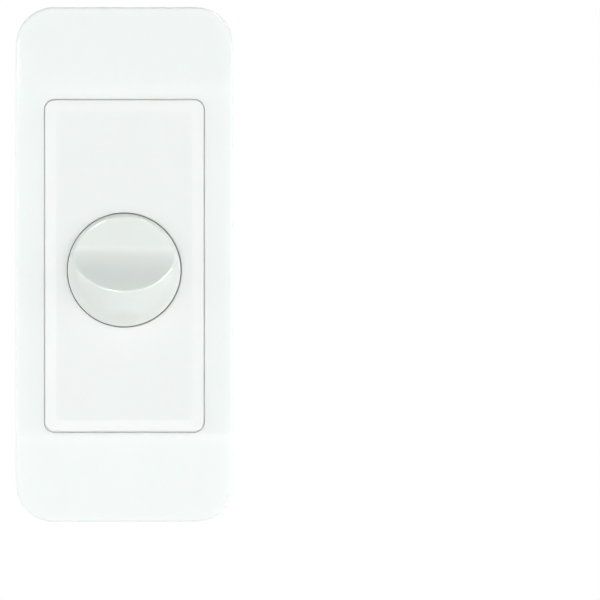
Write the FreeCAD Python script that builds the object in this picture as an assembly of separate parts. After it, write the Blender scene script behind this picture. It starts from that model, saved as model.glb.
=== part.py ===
import FreeCAD
import Part
import math
import os

# A narrow wall dimmer. A cover plate clips on round a flush panel and a dished dial, and the dimmer
# module sits behind them in the wall box.
#
# Millimetres. X is across the plate, Z is up it and Y goes into the wall. The wall face is y = 0, so
# everything on the room side has a negative y. The origin is midway between the two fixing screws.
# Module parts are drawn about the dial's shaft and are then lowered by SHAFT_Z.

V = FreeCAD.Vector
X_AXIS, Y_AXIS, Z_AXIS = V(1, 0, 0), V(0, 1, 0), V(0, 0, 1)
BOTH_SIDES = (-1, 1)

# ---------------------------------------------------------------- driving dimensions: the room side

SHAFT_Z = -1.3  # height of the dial's axis: just below the middle of the plate

PLATE_WIDTH = 49.4
PLATE_HEIGHT = 117.0
PLATE_CORNER = 8.6
PLATE_WALL = 2.0
PLATE_FRONT = -10.0
PLATE_END = -7.6  # the front surface at the top and bottom ends, where the plate thins
PLATE_FLAT_HALF = 39.5  # the front is flat this far up and down from the middle
PLATE_BEND_RADIUS = 22.0
PLATE_EDGE_ROUND = 0.6

WINDOW_WIDTH = 36.4
WINDOW_HEIGHT = 75.6
WINDOW_Z = -0.33  # middle of the window and its panel: a little below the middle of the plate
WINDOW_CORNER = 2.4
WINDOW_ROUND = 0.25
WINDOW_FLANGE = 1.2
WINDOW_FLANGE_BACK = -5.4

PANEL_GAP = 0.2
PANEL_WIDTH = WINDOW_WIDTH - 2 * PANEL_GAP
PANEL_HEIGHT = WINDOW_HEIGHT - 2 * PANEL_GAP
PANEL_CORNER = WINDOW_CORNER - PANEL_GAP
PANEL_FRONT = -10.1
PANEL_FACE = 2.0
PANEL_BACK = PANEL_FRONT + PANEL_FACE
PANEL_SKIRT = 1.1
PANEL_SKIRT_BACK = -3.2
PANEL_BORDER = 2.6  # the face falls away gently over this border
PANEL_BORDER_DROP = 0.14
PANEL_EDGE_ROUND = 0.25
PANEL_STEP = 0.3  # behind the front edge, a step fills most of the gap
PANEL_CLEARANCE = 0.06  # left beside the step
HOLE_EDGE_ROUND = 0.12

FRAME_WIDTH = 44.8
FRAME_HEIGHT = 112.4
FRAME_CORNER = 6.3
FRAME_THICK = 2.5
FRAME_FRONT = -FRAME_THICK
BEAD_WIDTH = 1.6
BEAD_HEIGHT = 0.4
RIM_WALL = 1.4
RIM_CLEARANCE = 0.1
RIM_WIDTH = PANEL_WIDTH - 2 * (PANEL_SKIRT + RIM_CLEARANCE)
RIM_HEIGHT = PANEL_HEIGHT - 2 * (PANEL_SKIRT + RIM_CLEARANCE)
RIM_CORNER = PANEL_CORNER - PANEL_SKIRT

CATCH_FRONT, CATCH_BACK = -5.6, -4.6
CATCH_LENGTH = 7.0
CATCH_DEPTH = 0.5
CATCH_CLEARANCE = 0.2
CATCH_SPOTS = [(side, z) for side in BOTH_SIDES for z in (-22.0, 22.0)]

FIXING_PITCH = 84.0
FIXING_SPOTS = [(0.0, -FIXING_PITCH / 2), (0.0, FIXING_PITCH / 2)]
FIXING_SCREW_RADIUS = 1.75
FIXING_NECK_RADIUS = 1.45  # thinner than the thread, so that the washer can't come off
FIXING_NECK_BACK = -0.1
FIXING_SCREW_LENGTH = 28.0  # from under the head
FIXING_HEAD_RADIUS = 3.2
FIXING_HEAD_HEIGHT = 2.0
FIXING_SLOT_LENGTH = 7.2
WASHER_THICK = 0.6

CLIP_SPOTS = [(0.0, -50.0), (0.0, 50.0)]
CLIP_SHEET = 0.4
CLIP_STAKE_X = 6.2
BLADE_THICK = 1.4
BLADE_WIDTH = 6.0

# ---------------------------------------------------------------- driving dimensions: the dial

DIAL_TURN = 1.2  # degrees about Y from the middle of its travel; negative is anticlockwise from the front
DIAL_RADIUS = 12.8
DIAL_HOLE_RADIUS = 13.0
DIAL_BACK = -5.9
DIAL_WALL = 1.8
DIAL_EDGE_ROUND = 0.4
DOME_RADIUS = 15.0
DOME_APEX = -18.2
DOME_CENTRE = DOME_APEX + DOME_RADIUS
SCOOP_FLOOR = -12.1
SCOOP_BOTTOM_Z = 2.55  # where the floor and the finger wall would meet without their round
SCOOP_ROUND = 10.0
SCOOP_WALL_SLOPE = 1.4  # the finger wall drops this far for each millimetre that it comes forward
SCOOP_SKIN = 2.0
HUB_RADIUS = 5.0

SHAFT_RADIUS = 3.0
SHAFT_TIP = -11.2
SHAFT_END = 9.2
SHAFT_FLAT = 2.0  # distance of the D flat from the axis
SHAFT_CLEARANCE = 0.04
PUSH_TRAVEL = 2.0

# ---------------------------------------------------------------- driving dimensions: the module

LID_THICK = 2.0
MODULE_WIDTH = 29.0
MODULE_HEIGHT = 52.0
MODULE_CORNER = 2.2
MODULE_WALL = 1.5
MODULE_BACK = 34.0
MODULE_INNER_BACK = MODULE_BACK - MODULE_WALL
MODULE_INNER_WIDTH = MODULE_WIDTH - 2 * MODULE_WALL
MODULE_INNER_HEIGHT = MODULE_HEIGHT - 2 * MODULE_WALL
MODULE_SCREW_SPOTS = [(10.7, 22.2), (-10.7, -22.2)]
MODULE_SCREW_RADIUS = 1.3

BUSHING_RADIUS = 3.5
BUSHING_TIP = -2.7
CONTROL_RADIUS = 8.3
CONTROL_WALL = 0.6
FLANGE_BACK = LID_THICK + 1.0
ROTOR_FRONT, ROTOR_BACK = 3.7, 5.4
WAFER_FRONT, WAFER_BACK = 7.4, 8.4
CONTROL_PIN_SPOTS = [(-3.4, -12.5), (0.0, -12.5), (3.4, -12.5)]

SWITCH_HALF = 8.0
SWITCH_WALL = 1.2
SWITCH_FLOOR = 16.9
SWITCH_BACK = 18.0
SWITCH_CONTACT_Z = 5.5
SWITCH_CONTACT_SPOTS = [(-3.0, SWITCH_CONTACT_Z), (3.0, SWITCH_CONTACT_Z)]
PLUNGER_HALF = 4.6
PLUNGER_BACK = 13.4
SPRING_FRONT = 10.6
SPRING_POCKET = 2.4
LATCH_Z = -5.6
LATCH_PIVOT_Y = 16.3
LATCH_TIP_Y = 12.2
LATCH_SWING = 8.0  # degrees that the latch pin swings over a full press

BOARD_WIDTH = 25.6
BOARD_HEIGHT = 48.6
BOARD_FRONT = 20.0
BOARD_BACK = 21.6
CHOKE_SPOT = (-4.2, 16.6)
CHOKE_Y = 16.6
CHOKE_RING = 4.7
TRIMMER_SPOT = (8.2, 16.2)
CAPACITOR_Z = -19.0
TRIAC_PIN_SPOTS = [(-2.54, 1.2), (0.0, 1.2), (2.54, 1.2)]
TRIAC_Z = 10.6
TRIAC_SCREW_Z = 19.0
PAD_THICK = 0.2
TAB_THICK = 1.3
HEAT_SINK_FRONT = 30.8
HEAT_SINK_THICK = 1.5
TAB_FRONT = HEAT_SINK_FRONT - PAD_THICK - TAB_THICK

TERMINAL_PITCH = 8.4
TERMINAL_XS = [-TERMINAL_PITCH, 0.0, TERMINAL_PITCH]
TERMINAL_Z = -17.0
TERMINAL_BORE = 1.9
TERMINAL_FRONT, TERMINAL_BACK = 23.6, 31.6
TERMINAL_SCREW_Y = 27.6
TERMINAL_SCREW_RADIUS = 1.25


# ---------------------------------------------------------------- shape helpers


def box(x0, x1, y0, y1, z0, z1):
    return Part.makeBox(x1 - x0, y1 - y0, z1 - z0, V(x0, y0, z0))


def side_box(side, x0, x1, y0, y1, z0, z1):
    """A box between two distances from the middle, on the side that side's sign gives."""
    low, high = sorted((side * x0, side * x1))
    return box(low, high, y0, y1, z0, z1)


def rod_x(radius, x0, x1, y=0.0, z=0.0):
    return Part.makeCylinder(radius, x1 - x0, V(x0, y, z), X_AXIS)


def rod_y(radius, y0, y1, x=0.0, z=0.0):
    return Part.makeCylinder(radius, y1 - y0, V(x, y0, z), Y_AXIS)


def rod_z(radius, z0, z1, x=0.0, y=0.0):
    return Part.makeCylinder(radius, z1 - z0, V(x, y, z0), Z_AXIS)


def ring_y(outer, inner, y0, y1, x=0.0, z=0.0):
    return rod_y(outer, y0, y1, x, z).cut(rod_y(inner, y0, y1, x, z))


def fused(shapes):
    shapes = list(shapes)
    return shapes[0].multiFuse(shapes[1:]).removeSplitter()


def cut_all(shape, tools):
    for tool in tools:
        shape = shape.cut(tool)
    return shape


def at_spots(spots, make):
    """Separate solids of one node, one made for each spot (x, z)."""
    return Part.makeCompound([make(x, z) for x, z in spots])


def turned(shape, degrees, x=0.0, z=0.0):
    """A copy turned about a Y axis through (x, z)."""
    copy = shape.copy()
    copy.rotate(V(x, 0, z), Y_AXIS, degrees)
    return copy


def outline(corners, place):
    """Closed wire through (u, v, radius) corners, each one rounded; place(u, v) gives the point in space."""
    bends = []
    for i, (u, v, radius) in enumerate(corners):
        here = V(u, v, 0)
        back = (V(*corners[i - 1][:2], 0) - here).normalize()
        ahead = (V(*corners[(i + 1) % len(corners)][:2], 0) - here).normalize()
        half = back.getAngle(ahead) / 2
        reach = radius / math.tan(half)
        middle = (back + ahead).normalize() * (radius / math.sin(half) - radius)
        bends.append((here + back * reach, here + middle, here + ahead * reach))
    edges = []
    for i, (start, middle, end) in enumerate(bends):
        following = bends[(i + 1) % len(bends)][0]
        if corners[i][2] > 0:
            edges.append(Part.Arc(*(place(p.x, p.y) for p in (start, middle, end))).toShape())
        edges.append(Part.LineSegment(place(end.x, end.y), place(following.x, following.y)).toShape())
    return Part.Wire(edges)


def rectangle(width, height, corner, y, x=0.0, z=0.0):
    """Rounded rectangle across X and Z, as a wire."""
    a, b = width / 2, height / 2
    corners = [(-a, -b, corner), (a, -b, corner), (a, b, corner), (-a, b, corner)]
    return outline(corners, lambda u, v: V(x + u, y, z + v))


def slab(width, height, corner, y0, y1, x=0.0, z=0.0):
    """Rounded rectangle across X and Z, solid from y0 to y1."""
    return Part.Face(rectangle(width, height, corner, y0, x, z)).extrude(V(0, y1 - y0, 0))


def side_prism(corners, x0, x1):
    """Outline of (y, z, radius) corners seen from the side, solid from x0 to x1."""
    wire = outline(corners, lambda u, v: V(x0, u, v))
    return Part.Face(wire).extrude(V(x1 - x0, 0, 0))


def wedge_y(radius, y0, y1, from_degrees, to_degrees):
    """Slice of a disc. Angles run from straight up towards +X."""
    steps = 24
    step = math.radians(to_degrees - from_degrees) / steps
    angles = [math.radians(from_degrees) + step * i for i in range(steps + 1)]
    rim = [V(radius * math.sin(a), y0, radius * math.cos(a)) for a in angles]
    centre = V(0, y0, 0)
    return Part.Face(Part.makePolygon([centre] + rim + [centre])).extrude(V(0, y1 - y0, 0))


def bent_wire(points, radius, bend):
    """Round wire through the points, curved at each corner."""
    edges = []
    start = points[0]
    for before, corner, after in zip(points, points[1:], points[2:]):
        coming = (corner - before).normalize()
        going = (after - corner).normalize()
        turn = coming.getAngle(going)
        reach = bend * math.tan(turn / 2)
        middle = corner + (going - coming).normalize() * (bend / math.cos(turn / 2) - bend)
        edges.append(Part.LineSegment(start, corner - coming * reach).toShape())
        edges.append(Part.Arc(corner - coming * reach, middle, corner + going * reach).toShape())
        start = corner + going * reach
    edges.append(Part.LineSegment(start, points[-1]).toShape())
    section = Part.Wire(Part.Circle(points[0], points[1] - points[0], radius).toShape())
    return Part.Wire(edges).makePipeShell([section], True, False)


def middle_of(edge):
    return edge.valueAt((edge.FirstParameter + edge.LastParameter) / 2)


def lies_flat(edge, y):
    """True where the whole edge is in the plane at that y."""
    return abs(edge.BoundBox.YMin - y) < 1e-4 and abs(edge.BoundBox.YMax - y) < 1e-4


def is_end_circle(edge):
    """True on the ends of a rod that lies along X."""
    return edge.BoundBox.XLength < 1e-4


def rounded_where(shape, radius, wanted):
    return shape.makeFillet(radius, [e for e in shape.Edges if wanted(e)])


def bevelled_at(shape, size, y):
    """Bevel the edges that lie in the plane at that y."""
    return shape.makeChamfer(size, [e for e in shape.Edges if lies_flat(e, y)])


def pan_head(radius, height, under_y, x, z):
    """Rounded screw head with a cross recess; it stands towards the room from under_y."""
    top = under_y - height
    head = rounded_where(rod_y(radius, top, under_y, x, z), height * 0.45, lambda e: lies_flat(e, top))
    reach, arm = radius * 0.62, radius * 0.15
    floor = top + height * 0.6
    across = box(x - reach, x + reach, top, floor, z - arm, z + arm)
    along = box(x - arm, x + arm, top, floor, z - reach, z + reach)
    return head.cut(across).cut(along)


# ---------------------------------------------------------------- cover plate


def plate_body(inset):
    """The plate's outer form; with an inset, the hollow behind it."""
    end = PLATE_HEIGHT / 2
    corners = [
        (0, -end, 0),
        (PLATE_END + inset, -end, 0),
        (PLATE_FRONT + inset, -PLATE_FLAT_HALF, PLATE_BEND_RADIUS),
        (PLATE_FRONT + inset, PLATE_FLAT_HALF, PLATE_BEND_RADIUS),
        (PLATE_END + inset, end, 0),
        (0, end, 0),
    ]
    side_view = side_prism(corners, -PLATE_WIDTH / 2, PLATE_WIDTH / 2)
    width, height = PLATE_WIDTH - 2 * inset, PLATE_HEIGHT - 2 * inset
    return side_view.common(slab(width, height, PLATE_CORNER - inset, PLATE_FRONT, 0))


def on_plate_rim(edge):
    """True round the outside of the plate's front, and not on the bends across it."""
    point = middle_of(edge)
    beside = abs(point.x) > PLATE_WIDTH / 2 - PLATE_CORNER
    beyond = abs(point.z) > PLATE_HEIGHT / 2 - PLATE_CORNER
    return point.y < PLATE_END + 0.1 and (beside or beyond)


def on_window_rim(edge):
    point = middle_of(edge)
    beside, above = abs(point.x), abs(point.z - WINDOW_Z)
    inside = beside < WINDOW_WIDTH / 2 + 0.01 and above < WINDOW_HEIGHT / 2 + 0.01
    return inside and lies_flat(edge, PLATE_FRONT)


def cover_plate():
    shell = rounded_where(plate_body(0), PLATE_EDGE_ROUND, on_plate_rim).cut(plate_body(PLATE_WALL))
    roof = PLATE_FRONT + PLATE_WALL
    flange = slab(
        WINDOW_WIDTH + 2 * WINDOW_FLANGE,
        WINDOW_HEIGHT + 2 * WINDOW_FLANGE,
        WINDOW_CORNER + WINDOW_FLANGE,
        roof - 1,
        WINDOW_FLANGE_BACK,
        z=WINDOW_Z,
    )
    half = BLADE_WIDTH / 2
    half_thick = BLADE_THICK / 2
    webs = [box(-half, half, roof - 1, -3.3, z - half_thick, z + half_thick) for _, z in CLIP_SPOTS]
    for x in (-15, -8.5, 8.5, 15):
        webs += [box(x - 0.5, x + 0.5, roof - 1, -4.4, s * 48 - 9.5, s * 48 + 9.5) for s in BOTH_SIDES]
    inside = plate_body(PLATE_WALL / 2)
    cover = fused([shell, flange] + [web.common(inside) for web in webs])
    cover = cover.cut(slab(WINDOW_WIDTH, WINDOW_HEIGHT, WINDOW_CORNER, PLATE_FRONT, 0, z=WINDOW_Z))
    low_edge = -PLATE_HEIGHT / 2
    pry_notch = box(-4, 4, -1.2, 0, low_edge, low_edge + PLATE_WALL)
    return rounded_where(cover.cut(pry_notch), WINDOW_ROUND, on_window_rim)


# ---------------------------------------------------------------- flush panel


def insert_panel():
    border_y = PANEL_FRONT + PANEL_BORDER_DROP
    block = slab(PANEL_WIDTH, PANEL_HEIGHT, PANEL_CORNER, border_y, PANEL_SKIRT_BACK, z=WINDOW_Z)
    inner_width, inner_height = PANEL_WIDTH - 2 * PANEL_BORDER, PANEL_HEIGHT - 2 * PANEL_BORDER
    border = [
        rectangle(PANEL_WIDTH, PANEL_HEIGHT, PANEL_CORNER, border_y, z=WINDOW_Z),
        rectangle(inner_width, inner_height, PANEL_CORNER / 2, PANEL_FRONT, z=WINDOW_Z),
    ]
    block = fused([block, Part.makeLoft(border, True, True)])
    block = rounded_where(block, PANEL_EDGE_ROUND, lambda e: lies_flat(e, border_y))
    step = WINDOW_WIDTH - 2 * PANEL_CLEARANCE, WINDOW_HEIGHT - 2 * PANEL_CLEARANCE
    step_corner = WINDOW_CORNER - PANEL_CLEARANCE
    block = fused([block, slab(*step, step_corner, border_y + PANEL_STEP, PANEL_SKIRT_BACK, z=WINDOW_Z)])
    inside_skirt = PANEL_WIDTH / 2 - PANEL_SKIRT
    hollow = slab(
        2 * inside_skirt,
        PANEL_HEIGHT - 2 * PANEL_SKIRT,
        RIM_CORNER,
        PANEL_BACK,
        PANEL_SKIRT_BACK,
        z=WINDOW_Z,
    )
    collar = rod_y(DIAL_HOLE_RADIUS + 1.5, PANEL_BACK - 0.5, PANEL_BACK + 1.6, z=SHAFT_Z)
    ribs = [
        box(-14.8, 14.8, PANEL_BACK - 0.5, PANEL_BACK + 1.0, z - 0.5, z + 0.5)
        for z in (-29.0, -22.0, 20.0, 27.0)
    ]
    low, high = inside_skirt - CATCH_DEPTH, inside_skirt + CATCH_DEPTH
    half = CATCH_LENGTH / 2
    catches = [side_box(s, low, high, CATCH_FRONT, CATCH_BACK, z - half, z + half) for s, z in CATCH_SPOTS]
    panel = fused([block.cut(hollow), collar] + ribs + catches)
    panel = panel.cut(rod_y(DIAL_HOLE_RADIUS, PANEL_FRONT - 1, 0, z=SHAFT_Z))

    def on_hole_rim(edge):
        return lies_flat(edge, PANEL_FRONT) and edge.BoundBox.XLength < 2 * DIAL_HOLE_RADIUS + 0.1

    return rounded_where(panel, HOLE_EDGE_ROUND, on_hole_rim)


# ---------------------------------------------------------------- mounting frame and its fastenings


def back_relief():
    """Shallow recess behind the frame: it leaves a bead to sit on the wall and a pad for the module."""
    width, height = FRAME_WIDTH - 2 * BEAD_WIDTH, FRAME_HEIGHT - 2 * BEAD_WIDTH
    recess = slab(width, height, FRAME_CORNER - BEAD_WIDTH, -BEAD_HEIGHT, 0)
    pad = slab(MODULE_WIDTH + 2, MODULE_HEIGHT + 2, MODULE_CORNER + 1, -BEAD_HEIGHT, 0, z=SHAFT_Z)
    return recess.cut(pad)


def mounting_frame():
    plate = slab(FRAME_WIDTH, FRAME_HEIGHT, FRAME_CORNER, FRAME_FRONT, 0)
    rim = slab(RIM_WIDTH, RIM_HEIGHT, RIM_CORNER, PANEL_BACK, FRAME_FRONT, z=WINDOW_Z)
    inner_width, inner_height = RIM_WIDTH - 2 * RIM_WALL, RIM_HEIGHT - 2 * RIM_WALL
    rim = rim.cut(slab(inner_width, inner_height, 0.4, PANEL_BACK, FRAME_FRONT, z=WINDOW_Z))
    added = [rim]
    for _, z in CLIP_SPOTS:
        for x in (-CLIP_STAKE_X, CLIP_STAKE_X):
            head_under = FRAME_FRONT - CLIP_SHEET
            added += [rod_y(1.0, head_under, FRAME_FRONT, x, z), rod_y(1.6, head_under - 0.8, head_under, x, z)]
    for s in BOTH_SIDES:
        added += [side_box(side, 17.9, 19.1, -4.6, FRAME_FRONT, s * 47 - 7, s * 47 + 7) for side in BOTH_SIDES]
    frame = fused([plate] + added)

    half = CATCH_LENGTH / 2 + CATCH_CLEARANCE
    front, back = CATCH_FRONT - CATCH_CLEARANCE, CATCH_BACK + CATCH_CLEARANCE
    windows = [side_box(s, RIM_WIDTH / 2 - 2, RIM_WIDTH / 2 + 1, front, back, z - half, z + half) for s, z in CATCH_SPOTS]
    holes = [slab(FIXING_SLOT_LENGTH, 3.8, 1.89, FRAME_FRONT, 0, x, z) for x, z in FIXING_SPOTS]
    for z in (-35.5, -31.0, 28.0, 32.5):
        holes += [slab(9.0, 2.4, 1.19, FRAME_FRONT, 0, x, z) for x in (-7.5, 7.5)]
    for x, z in MODULE_SCREW_SPOTS:
        holes.append(rod_y(MODULE_SCREW_RADIUS + 0.3, FRAME_FRONT, 0, x, SHAFT_Z + z))
        holes.append(rod_y(2.9, FRAME_FRONT, -1.3, x, SHAFT_Z + z))
    holes.append(rod_y(1.7, FRAME_FRONT, 0, TRIMMER_SPOT[0], SHAFT_Z + TRIMMER_SPOT[1]))
    holes.append(rod_y(8.6, FRAME_FRONT, 0, z=SHAFT_Z))
    return cut_all(frame, [back_relief()] + windows + holes)


def cover_clips():
    """Bent steel clips, each with two sprung jaws that grip a blade of the cover."""

    def clip(x, z):
        parts = [slab(17.0, 7.4, 1.0, FRAME_FRONT - CLIP_SHEET, FRAME_FRONT, x, z)]
        for s in BOTH_SIDES:
            near = z + s * (BLADE_THICK / 2 + 0.02)
            low, high = sorted((near, near + s * CLIP_SHEET))
            flare = box(x - 3.5, x + 3.5, -6.1, -5.3, low, high)
            flare.rotate(V(x, -5.3, near), X_AXIS, -s * 28)
            parts += [box(x - 3.5, x + 3.5, -5.4, FRAME_FRONT - 0.1, low, high), flare]
        holes = [rod_y(1.0, -4, -2, x + hole_x, z) for hole_x in (-CLIP_STAKE_X, CLIP_STAKE_X)]
        return cut_all(fused(parts), holes)

    return at_spots(CLIP_SPOTS, clip)


def fixing_screws():
    """Two machine screws into the wall box. Their shanks stand out behind the frame."""
    under_head = FRAME_FRONT - WASHER_THICK
    tip = under_head + FIXING_SCREW_LENGTH

    def screw(x, z):
        thread = bevelled_at(rod_y(FIXING_SCREW_RADIUS, FIXING_NECK_BACK, tip, x, z), 0.6, tip)
        neck = rod_y(FIXING_NECK_RADIUS, under_head, FIXING_NECK_BACK, x, z)
        return fused([thread, neck, pan_head(FIXING_HEAD_RADIUS, FIXING_HEAD_HEIGHT, under_head, x, z)])

    return at_spots(FIXING_SPOTS, screw)


def captive_washers():
    """Soft washers that keep the fixing screws in their slots until the frame is on the wall."""
    front = FRAME_FRONT - WASHER_THICK
    return at_spots(FIXING_SPOTS, lambda x, z: ring_y(3.6, FIXING_NECK_RADIUS, front, FRAME_FRONT, x, z))


# ---------------------------------------------------------------- dial


def dome_rim_y(radius, dome_radius):
    return DOME_CENTRE - math.sqrt(dome_radius**2 - radius**2)


def domed_rod(radius, dome_radius):
    """A rod from the dial's back edge, closed towards the room by a spherical cap."""
    rim = dome_rim_y(radius, dome_radius)
    half_angle = math.asin(radius / dome_radius) / 2
    on_dome = V(dome_radius * math.sin(half_angle), DOME_CENTRE - dome_radius * math.cos(half_angle), 0)
    apex = V(0, DOME_CENTRE - dome_radius, 0)
    back, back_edge, rim_edge = V(0, DIAL_BACK, 0), V(radius, DIAL_BACK, 0), V(radius, rim, 0)
    edges = [
        Part.LineSegment(back, back_edge).toShape(),
        Part.LineSegment(back_edge, rim_edge).toShape(),
        Part.Arc(rim_edge, on_dome, apex).toShape(),
        Part.LineSegment(apex, back).toShape(),
    ]
    return Part.Face(Part.Wire(edges)).revolve(V(0, 0, 0), Y_AXIS, 360)


def scoop(floor):
    """What the finger dish takes out of the dome: a flat floor that curves into a sloping finger wall."""
    far = 16.0
    wall_reach = (SCOOP_BOTTOM_Z + far) / SCOOP_WALL_SLOPE
    corners = [
        (floor, far, 0),
        (floor, SCOOP_BOTTOM_Z, SCOOP_ROUND),
        (floor - wall_reach, -far, 0),
        (floor - 20, far, 0),
    ]
    return side_prism(corners, -far, far)


def on_dome_rim(edge):
    """True where the dish breaks out through the dome."""
    points = [vertex.Point for vertex in edge.Vertexes] + [middle_of(edge)]
    on_dome = all(abs((p - V(0, DOME_CENTRE, 0)).Length - DOME_RADIUS) < 1e-3 for p in points)
    return on_dome and not lies_flat(edge, dome_rim_y(DIAL_RADIUS, DOME_RADIUS))


def dimmer_dial():
    solid = domed_rod(DIAL_RADIUS, DOME_RADIUS).cut(scoop(SCOOP_FLOOR))
    solid = rounded_where(solid, DIAL_EDGE_ROUND, on_dome_rim)
    hollow = domed_rod(DIAL_RADIUS - DIAL_WALL, DOME_RADIUS - DIAL_WALL).cut(scoop(SCOOP_FLOOR + SCOOP_SKIN))
    hub = rod_y(HUB_RADIUS, DOME_APEX, DIAL_BACK)
    rib = box(-0.5, 0.5, DOME_APEX, DIAL_BACK - 1.6, 0, DIAL_RADIUS - DIAL_WALL / 2)
    inside = [hub] + [turned(rib, angle) for angle in (45, 135, 225, 315)]
    dial = fused([solid.cut(hollow)] + [piece.common(solid) for piece in inside])
    bore = rod_y(SHAFT_RADIUS + SHAFT_CLEARANCE, SHAFT_TIP - 0.1, DIAL_BACK)
    bore = bore.cut(box(-5, 5, DOME_APEX, 0, SHAFT_FLAT + SHAFT_CLEARANCE, 5))
    spring_pocket = box(-1.9, 1.9, -10.8, DIAL_BACK, SHAFT_FLAT, SHAFT_FLAT + 0.7)
    return dial.cut(bore).cut(spring_pocket)


def dial_grip_spring():
    """A leaf in the hub that presses on the shaft's flat, so that the dial stays on until it is pulled."""
    leaf = box(-1.75, 1.75, -10.7, -6.1, SHAFT_FLAT + 0.32, SHAFT_FLAT + 0.62)
    bump = rod_x(0.3, -1.2, 1.2, -8.4, SHAFT_FLAT + 0.32)
    return fused([leaf, bump])


# ---------------------------------------------------------------- rotary control


def control_shaft():
    shaft = bevelled_at(rod_y(SHAFT_RADIUS, SHAFT_TIP, SHAFT_END), 0.5, SHAFT_TIP)
    dial_flat = box(-4, 4, SHAFT_TIP, -3.4, SHAFT_FLAT, 4)
    rotor_flat = box(-4, 4, FLANGE_BACK - PUSH_TRAVEL - 0.4, SHAFT_END, SHAFT_FLAT, 4)
    groove = ring_y(SHAFT_RADIUS + 1, SHAFT_RADIUS - 0.5, 8.5, 9.0)
    return cut_all(shaft, [dial_flat, rotor_flat, groove])


def shaft_clip():
    """Open ring in the shaft's groove; it stops the shaft being pulled out."""
    ring = ring_y(4.6, SHAFT_RADIUS - 0.5, 8.5, 9.0)
    return ring.cut(box(-1.9, 1.9, 8.4, 9.1, 0, 6))


def control_bushing():
    """Neck and front flange of the rotary control."""
    neck = bevelled_at(rod_y(BUSHING_RADIUS, BUSHING_TIP, LID_THICK), 0.3, BUSHING_TIP)
    flange = slab(2 * CONTROL_RADIUS, 2 * CONTROL_RADIUS, 2.5, LID_THICK, FLANGE_BACK)
    key = box(-1.1, 1.1, 0.8, LID_THICK, 6.0, 7.2)
    return fused([neck, flange, key]).cut(rod_y(SHAFT_RADIUS + SHAFT_CLEARANCE, BUSHING_TIP, FLANGE_BACK))


def control_washer():
    return ring_y(5.6, BUSHING_RADIUS, -0.5, 0)


def control_nut():
    corner = 5.0 / math.cos(math.radians(30))
    angles = [math.radians(a) for a in range(0, 361, 60)]
    hexagon = Part.makePolygon([V(corner * math.cos(a), -2.4, corner * math.sin(a)) for a in angles])
    return Part.Face(hexagon).extrude(V(0, 1.9, 0)).cut(rod_y(BUSHING_RADIUS, -2.4, -0.5))


def control_case():
    """Metal can round the track, with an inward stop at the top and a gap for the wafer's tongue below."""
    inner = CONTROL_RADIUS - CONTROL_WALL
    can = ring_y(CONTROL_RADIUS, inner, FLANGE_BACK, WAFER_BACK)
    stop = ring_y(inner + 0.2, 6.6, FLANGE_BACK, ROTOR_BACK - 0.1)
    stop = stop.common(wedge_y(12, FLANGE_BACK, ROTOR_BACK - 0.1, -28, 28))
    tongue_gap = box(-5.2, 5.2, WAFER_FRONT, WAFER_BACK, -10, -5)
    return fused([can, stop]).cut(tongue_gap)


def track_wafer():
    disc = rod_y(CONTROL_RADIUS - CONTROL_WALL, WAFER_FRONT, WAFER_BACK)
    tongue = box(-5.1, 5.1, WAFER_FRONT, WAFER_BACK, -13.2, 0)
    return fused([disc, tongue]).cut(rod_y(SHAFT_RADIUS + 0.3, WAFER_FRONT, WAFER_BACK))


def carbon_track():
    """Printed horseshoe of resistance, and the collector ring inside it."""
    front = WAFER_FRONT - 0.1
    horseshoe = ring_y(7.0, 5.4, front, WAFER_FRONT).cut(wedge_y(12, front, WAFER_FRONT, 152, 208))
    collector = ring_y(4.8, 3.8, front, WAFER_FRONT)
    return Part.makeCompound([horseshoe, collector])


def wiper_rotor():
    """Plastic disc that the shaft's rear flat turns while the shaft slides through it."""
    disc = rod_y(6.4, ROTOR_FRONT, ROTOR_BACK)
    hub = rod_y(4.4, 3.1, 5.9)
    stop = box(-1.0, 1.0, ROTOR_FRONT, ROTOR_BACK, -7.4, -6.0)
    bore = rod_y(SHAFT_RADIUS + SHAFT_CLEARANCE, 3, 6)
    bore = bore.cut(box(-5, 5, 3, 6, SHAFT_FLAT + SHAFT_CLEARANCE, 5))
    return fused([disc, hub, stop]).cut(bore)


def wiper_contact():
    """Sprung bridge with one finger on the track and one on the collector ring."""
    sheet = 0.25
    half_ring = ring_y(6.3, 4.45, ROTOR_BACK, ROTOR_BACK + sheet)
    half_ring = half_ring.common(box(-3.6, 3.6, ROTOR_BACK, ROTOR_BACK + sheet, 0, 8))
    parts = [half_ring]
    for low, high in ((4.45, 4.75), (5.95, 6.25)):
        tip_y = WAFER_FRONT - 0.11 - sheet
        parts.append(box(-0.5, 0.5, ROTOR_BACK + sheet / 2, tip_y, low, high))
        parts.append(rod_z(sheet, low, high, 0, tip_y))
    return fused(parts)


def control_pins():
    """Three legs riveted to the wafer's tongue and bent back to the circuit board."""

    def leg(x, z):
        tail = box(x - 0.45, x + 0.45, WAFER_BACK, BOARD_BACK, z - 0.2, z + 0.2)
        pad = box(x - 0.9, x + 0.9, WAFER_BACK, WAFER_BACK + 0.4, z - 0.2, z + 3.4)
        return fused([tail, pad])

    return at_spots(CONTROL_PIN_SPOTS, leg)


# ---------------------------------------------------------------- push switch behind the control


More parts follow.
